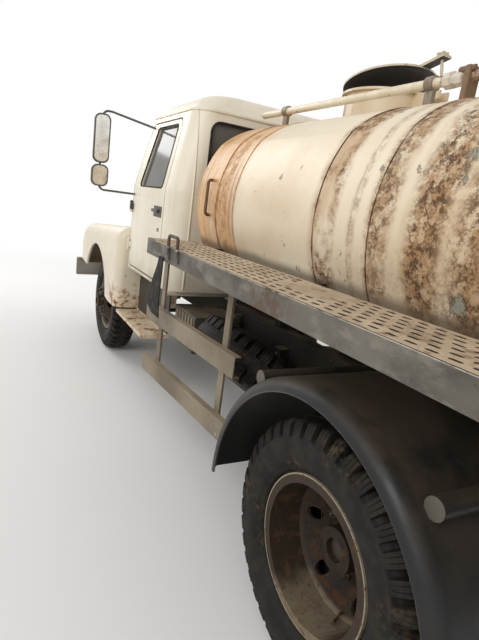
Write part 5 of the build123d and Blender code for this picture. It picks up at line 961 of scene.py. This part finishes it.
coat(shader, cover, pipe_rust.above(0.5, 0.7) * 0.4 + 0.4, pipe_rust, 0.0010)
dress(pipe_cream, "top_pipe")
scabby_iron = worn_paint("scabby_iron", (0.22, 0.14, 0.08), (0.08, 0.045, 0.025),
                         0.8, 1.0, 0.6, 0.3, 0.3, 2.0)
union_pale = worn_paint("union_pale", (0.62, 0.56, 0.46), (0.44, 0.38, 0.29), 0.6, 0.9, 0.6, 0.1, 0.2, 2.5)
# Columns: radius, place along the lorry
union_profile = ((0.020, -1.375), (0.028, -1.372), (0.030, -1.345), (0.024, -1.340),
                 (0.024, -1.325), (0.032, -1.322), (0.032, -1.292), (0.020, -1.288))
screw_profile = ((0.010, -1.425), (0.010, -1.360), (0.006, -1.355))
screw_across, screw_height = 0.500, 2.186
union = turned_tile("pipe_union", union_profile, 8, "X")
union.data.transform(Matrix.Translation((0, pipe_across, pipe_height)))
clamp = block("pipe_clamp", (-1.412, 0.452, 2.070), (-1.388, 0.512, 2.196), 0.005)
clamp_screw = turned_tile("pipe_clamp_screw", screw_profile, 6, "X")
clamp_screw.data.transform(Matrix.Translation((0, screw_across, screw_height)))
for piece, finish in ((union, union_pale), (clamp, scabby_iron), (clamp_screw, scabby_iron)):
    fit(piece, finish, "chassis")

# Decks: slotted sheet laid on folded side channels, tan with dried mud, and on the left a plain patch.
# The channels' faces are bare galvanised steel gone grey, rubbed bright along their upper edge.
deck_steel, shader, place = new_material("deck_steel")
along, across, height = axes(place)
fascia = abs(across).above(1.2090, 1.2100)
clouds = grain(place, 4, 5, (1, 1, 1.6), 2)
cover = between(place, clouds.above(0.34, 0.66), (0.132, 0.118, 0.095), (0.068, 0.058, 0.045))
cover = cover.tint((0.21, 0.188, 0.150), grain(place, 18, 5, (0.5, 1, 1), 4).above(0.50, 0.68) * 0.6)
rubbed = height.above(1.3555, 1.3580) * grain(place, 22, 4, shift=5).above(0.30, 0.55)
rusty = along.near(-1.42, 0.06, 0.10) * grain(place, 30, 5, shift=1).above(0.42, 0.58)
cover = cover.tint((0.46, 0.42, 0.35), rubbed).tint((0.085, 0.050, 0.026), rusty)
fascia_pits = grain(place, 55, 5, shift=6, rough=0.8)
cover = cover.tint((0.030, 0.024, 0.018), fascia_pits.above(0.62, 0.68) * 0.75)
# Except on the channels' outer faces the walkway is painted near black: painted shade, seen through the
# slots of the sheet on it.
inner = mottled(place, 9, 4, 0.4, 0.7, (0.016, 0.013, 0.010), (0.040, 0.030, 0.020), 3)
cover = inner.tint(cover, fascia).tint((0.070, 0.048, 0.032), height.above(1.362, 1.364))
rough = grain(place, 12, 4, shift=2).above(0.3, 0.7) * 0.25 + 0.60
coat(shader, cover, rough, fascia_pits + grain(place, 5, 3, shift=8) * 2, 0.0014)
dress(deck_steel, "walkways")

deck_tan, shader, place = new_material("deck_tan", 0.8)
cover = mottled(place, 4, 5, 0.34, 0.66, (0.50, 0.39, 0.265), (0.36, 0.27, 0.175), 2)
deck_rust = grain(place, 20, 6, shift=6, rough=0.75)
cover = cover.tint((0.17, 0.085, 0.040), deck_rust.above(0.52, 0.62) * 0.8)
cover = cover.tint((0.52, 0.43, 0.30), grain(place, 50, 4, shift=3).above(0.56, 0.66) * 0.5)
# Below its top face the sheet is painted near black: painted shade on the slots' walls and the sheet's
# edges.
cover = cover.tint((0.022, 0.016, 0.011), 1 - axes(place)[2].above(1.3611, 1.3615))
coat(shader, cover, relief=deck_rust + grain(place, 110, 3) * 0.4, depth=0.0012)

deck_top, sheet_thickness = 1.3592, 0.0026
slot_length, slot_width = 0.037, 0.0155
tile_long, tile_wide = 0.060, 0.042
slot_rows, slot_columns = 6, 47


def build_grid(root, values):
    """Rows of tiles, every other row moved on by the stagger."""
    odd = root.maths("MODULO", root.node("GeometryNodeInputIndex"), 2.0)
    lines = line_of(root, values["Rows"], values["Row Step"], values["Start"])
    moved = root.node("ShaderNodeCombineXYZ", sockets={"X": odd * values["Stagger"]})
    lines = root.node("GeometryNodeSetPosition", sockets={"Geometry": lines, "Offset": moved})
    grid = placed(root, lines, line_of(root, values["Columns"], values["Column Step"]))
    grid = root.node("GeometryNodeRealizeInstances", sockets={"Geometry": grid})
    return placed(root, grid, values["Tile"])


grid_tree = repeat_tree("grid_of", {
    "Tile": None, "Rows": int, "Columns": int, "Start": tuple, "Row Step": tuple, "Column Step": tuple,
    "Stagger": float}, build_grid)


def slot_tile():
    """One slotted tile of deck sheet: its top round the slot, and the slot's own wall."""
    ends = []
    for turn in (0, 180):
        for step in range(5):
            angle = math.radians(turn - 90 + step * 45)
            middle = (slot_length - slot_width) / 2 * (1 if turn == 0 else -1)
            ends.append((tile_long / 2 + middle + slot_width / 2 * math.cos(angle),
                         tile_wide / 2 + slot_width / 2 * math.sin(angle)))
    border = [(tile_long / 2, 0), (tile_long, 0), (tile_long, tile_wide / 2), (tile_long, tile_wide),
              (tile_long / 2, tile_wide), (tile_long / 2, tile_wide), (0, tile_wide), (0, tile_wide / 2),
              (0, 0), (tile_long / 2, 0)]
    points = [(x, y, sheet_thickness) for x, y in border + ends] + [(x, y, 0.0) for x, y in ends]
    count = len(ends)
    faces = []
    for i in range(count):
        j = (i + 1) % count
        if border[i] == border[j]:
            faces.append((i, count + j, count + i))
        else:
            faces.append((i, j, count + j, count + i))
        faces.append((count + i, count + j, 2 * count + j, 2 * count + i))
    return mesh_object("slot_tile", points, faces)


sheet_high = deck_top + sheet_thickness
sheet_rear, sheet_inner, slot_stagger = -3.01, 0.947, 0.030
# Columns: strip, its rear end and inner edge on the left side, its front end and outer edge
strip_rows = (("rear", -3.050, 0.937, -2.975, 1.209), ("front", -0.190, 0.937, -0.090, 1.209),
              ("inner", -3.048, 0.936, -0.092, 0.949), ("outer", -3.048, 1.197, -0.092, 1.2105),
              ("patch", -1.595, 0.952, -1.290, 1.125))
for side, sign in both_sides:
    tile = slot_tile()
    if sign < 0:
        tile.data.transform(Matrix.Translation((0, -tile_wide, 0)))
    repeated(f"deck_sheet_{side}", grid_tree, {
        "Tile": tile, "Rows": slot_rows, "Columns": slot_columns,
        "Start": (sheet_rear, sign * sheet_inner, deck_top), "Row Step": (0.0, sign * tile_wide, 0.0),
        "Column Step": (tile_long, 0.0, 0.0), "Stagger": slot_stagger, "Finish": deck_tan},
        "chassis")
    for name, rear, inner_edge, front, outer_edge in strip_rows:
        if name == "patch" and side == "right":
            continue
        rise = 0.0006 if name == "patch" else 0.0004
        right_edge, left_edge = sorted((sign * inner_edge, sign * outer_edge))
        strip = block(f"deck_{name}_{side}", (rear, right_edge, deck_top),
                      (front, left_edge, sheet_high + rise), 0.0008, 1)
        fit(strip, deck_tan, "chassis")

# Flap: a strip of black rubber bolted to the channel's face on the left.
# It is stiff with age and hangs beside the guard.
flap_thickness = 0.006
# Columns: height, front edge, rear edge, how far out it hangs
flap_rows = ((1.296, -0.335, -0.395, 1.214), (1.240, -0.318, -0.400, 1.216), (1.155, -0.268, -0.404, 1.220),
             (1.080, -0.246, -0.410, 1.222), (1.017, -0.226, -0.416, 1.221), (0.985, -0.300, -0.418, 1.219))
flap_points = []
for z, front, rear, inner in flap_rows:
    outer = inner + flap_thickness
    flap_points += [(front, inner, z), (front, outer, z), (rear, outer, z), (rear, inner, z)]
flap = mesh_object("hanging_flap", flap_points, skin(len(flap_rows), 4, "capped"))
turn_outwards(flap)
fit(flap, window_rubber, "chassis")

# Side guards, tanks and rear bar: folded channel and sheet in old beige enamel, scraped, rusting at edges.
# The battery box has a ribbed front, and two straps hold the fuel tank.
guard_beige = worn_paint("guard_beige", (0.26, 0.215, 0.150), (0.135, 0.105, 0.068),
                         0.6, 1.0, 0.8, 0.8, 0.9, 1.6)
dress(guard_beige, "side_guards", "rear_bar", "ladder")
box_brown = worn_paint("box_brown", (0.10, 0.085, 0.062), (0.055, 0.045, 0.032), 0.7, 0.7, 0.3, 0.5, 0.6)
dress(box_brown, "battery_box")
rib = block("rib", (-0.011, 0.8065, 0.630), (0.011, 0.8130, 0.845), 0.003, 2)
rib_count, first_rib, rib_pitch = 6, 0.095, 0.054
repeated("battery_box_ribs", row_tree, {
    "Tile": rib, "Count": rib_count, "Start": (first_rib, 0.0, 0.0), "Step": (rib_pitch, 0.0, 0.0),
    "Finish": guard_beige}, "chassis")
fuel_tank_grey = worn_paint("fuel_tank_grey", (0.12, 0.105, 0.080), (0.060, 0.050, 0.036),
                            0.5, 0.5, 0.2, 0.7, 0.3)
dress(fuel_tank_grey, "fuel_tank")

# Rear fenders: pressed half barrels in black enamel, semi-gloss under brown dust, with a beaded lip.
fender_black, shader, place = new_material("fender_black", shine=0.3)
scuffs = grain(place, 11, 6, (1, 1, 1), 2, 0.7)
cover = mottled(place, 3, 4, 0.35, 0.7, (0.013, 0.013, 0.014), (0.026, 0.024, 0.021))
top_dust = facing(place)[2].above(0.25, 0.95) * grain(place, 5, 5, shift=5).above(0.28, 0.66)
cover = cover.tint((0.060, 0.044, 0.028), top_dust * 0.80)
cover = cover.tint((0.07, 0.06, 0.045), scuffs.above(0.62, 0.70) * 0.5)
tube_ends = abs(axes(place)[1]).near(1.065, 0.002, 0.001) * abs(facing(place)[1]).above(0.85, 0.95)
cover = cover.tint((0.11, 0.098, 0.078), tube_ends)
rough = top_dust * 0.40 + scuffs.above(0.4, 0.7) * 0.15 + 0.34
coat(shader, cover, rough, grain(place, 2.6, 2, shift=4) * 5 + scuffs * 0.4, 0.0012)
dress(fender_black, "rear_fenders")
# The bead is grey, far lighter than the black fender: a painted highlight along the lip, on chipped and
# rusting paint.
bead_highlight_grey = worn_paint("bead_highlight_grey", (0.10, 0.093, 0.080), (0.045, 0.040, 0.034),
                       0.35, 0.2, 0.1, 0.2, 0.1, 2.0)
bead_arc, bead_out, bead_thickness = 0.5735, 1.1345, 0.0055
for side, sign in both_sides:
    bead_line = [(rear_axle + bead_arc * math.cos(math.radians(angle)), sign * bead_out,
                  wheel_height + bead_arc * math.sin(math.radians(angle))) for angle in range(0, 181, 4)]
    bead = tube(f"fender_bead_{side}", bead_line, bead_thickness, 8)
    fit(bead, bead_highlight_grey, "chassis")

# Tail lamps: moulded red lenses with fine flutes, screwed to the rear bar, with an amber outer part.
# The red has gone dark and dull in the sun.
red_glass, shader, place = new_material("red_glass", 0.2)
across = axes(place)[1]
cover = between(place, abs(across).above(0.935, 0.938), (0.42, 0.022, 0.012), (0.52, 0.20, 0.02))
lens_flutes = 900.0
coat(shader, cover, relief=(across * lens_flutes).sine(), depth=0.0008)
dress(red_glass, "tail_lamps")
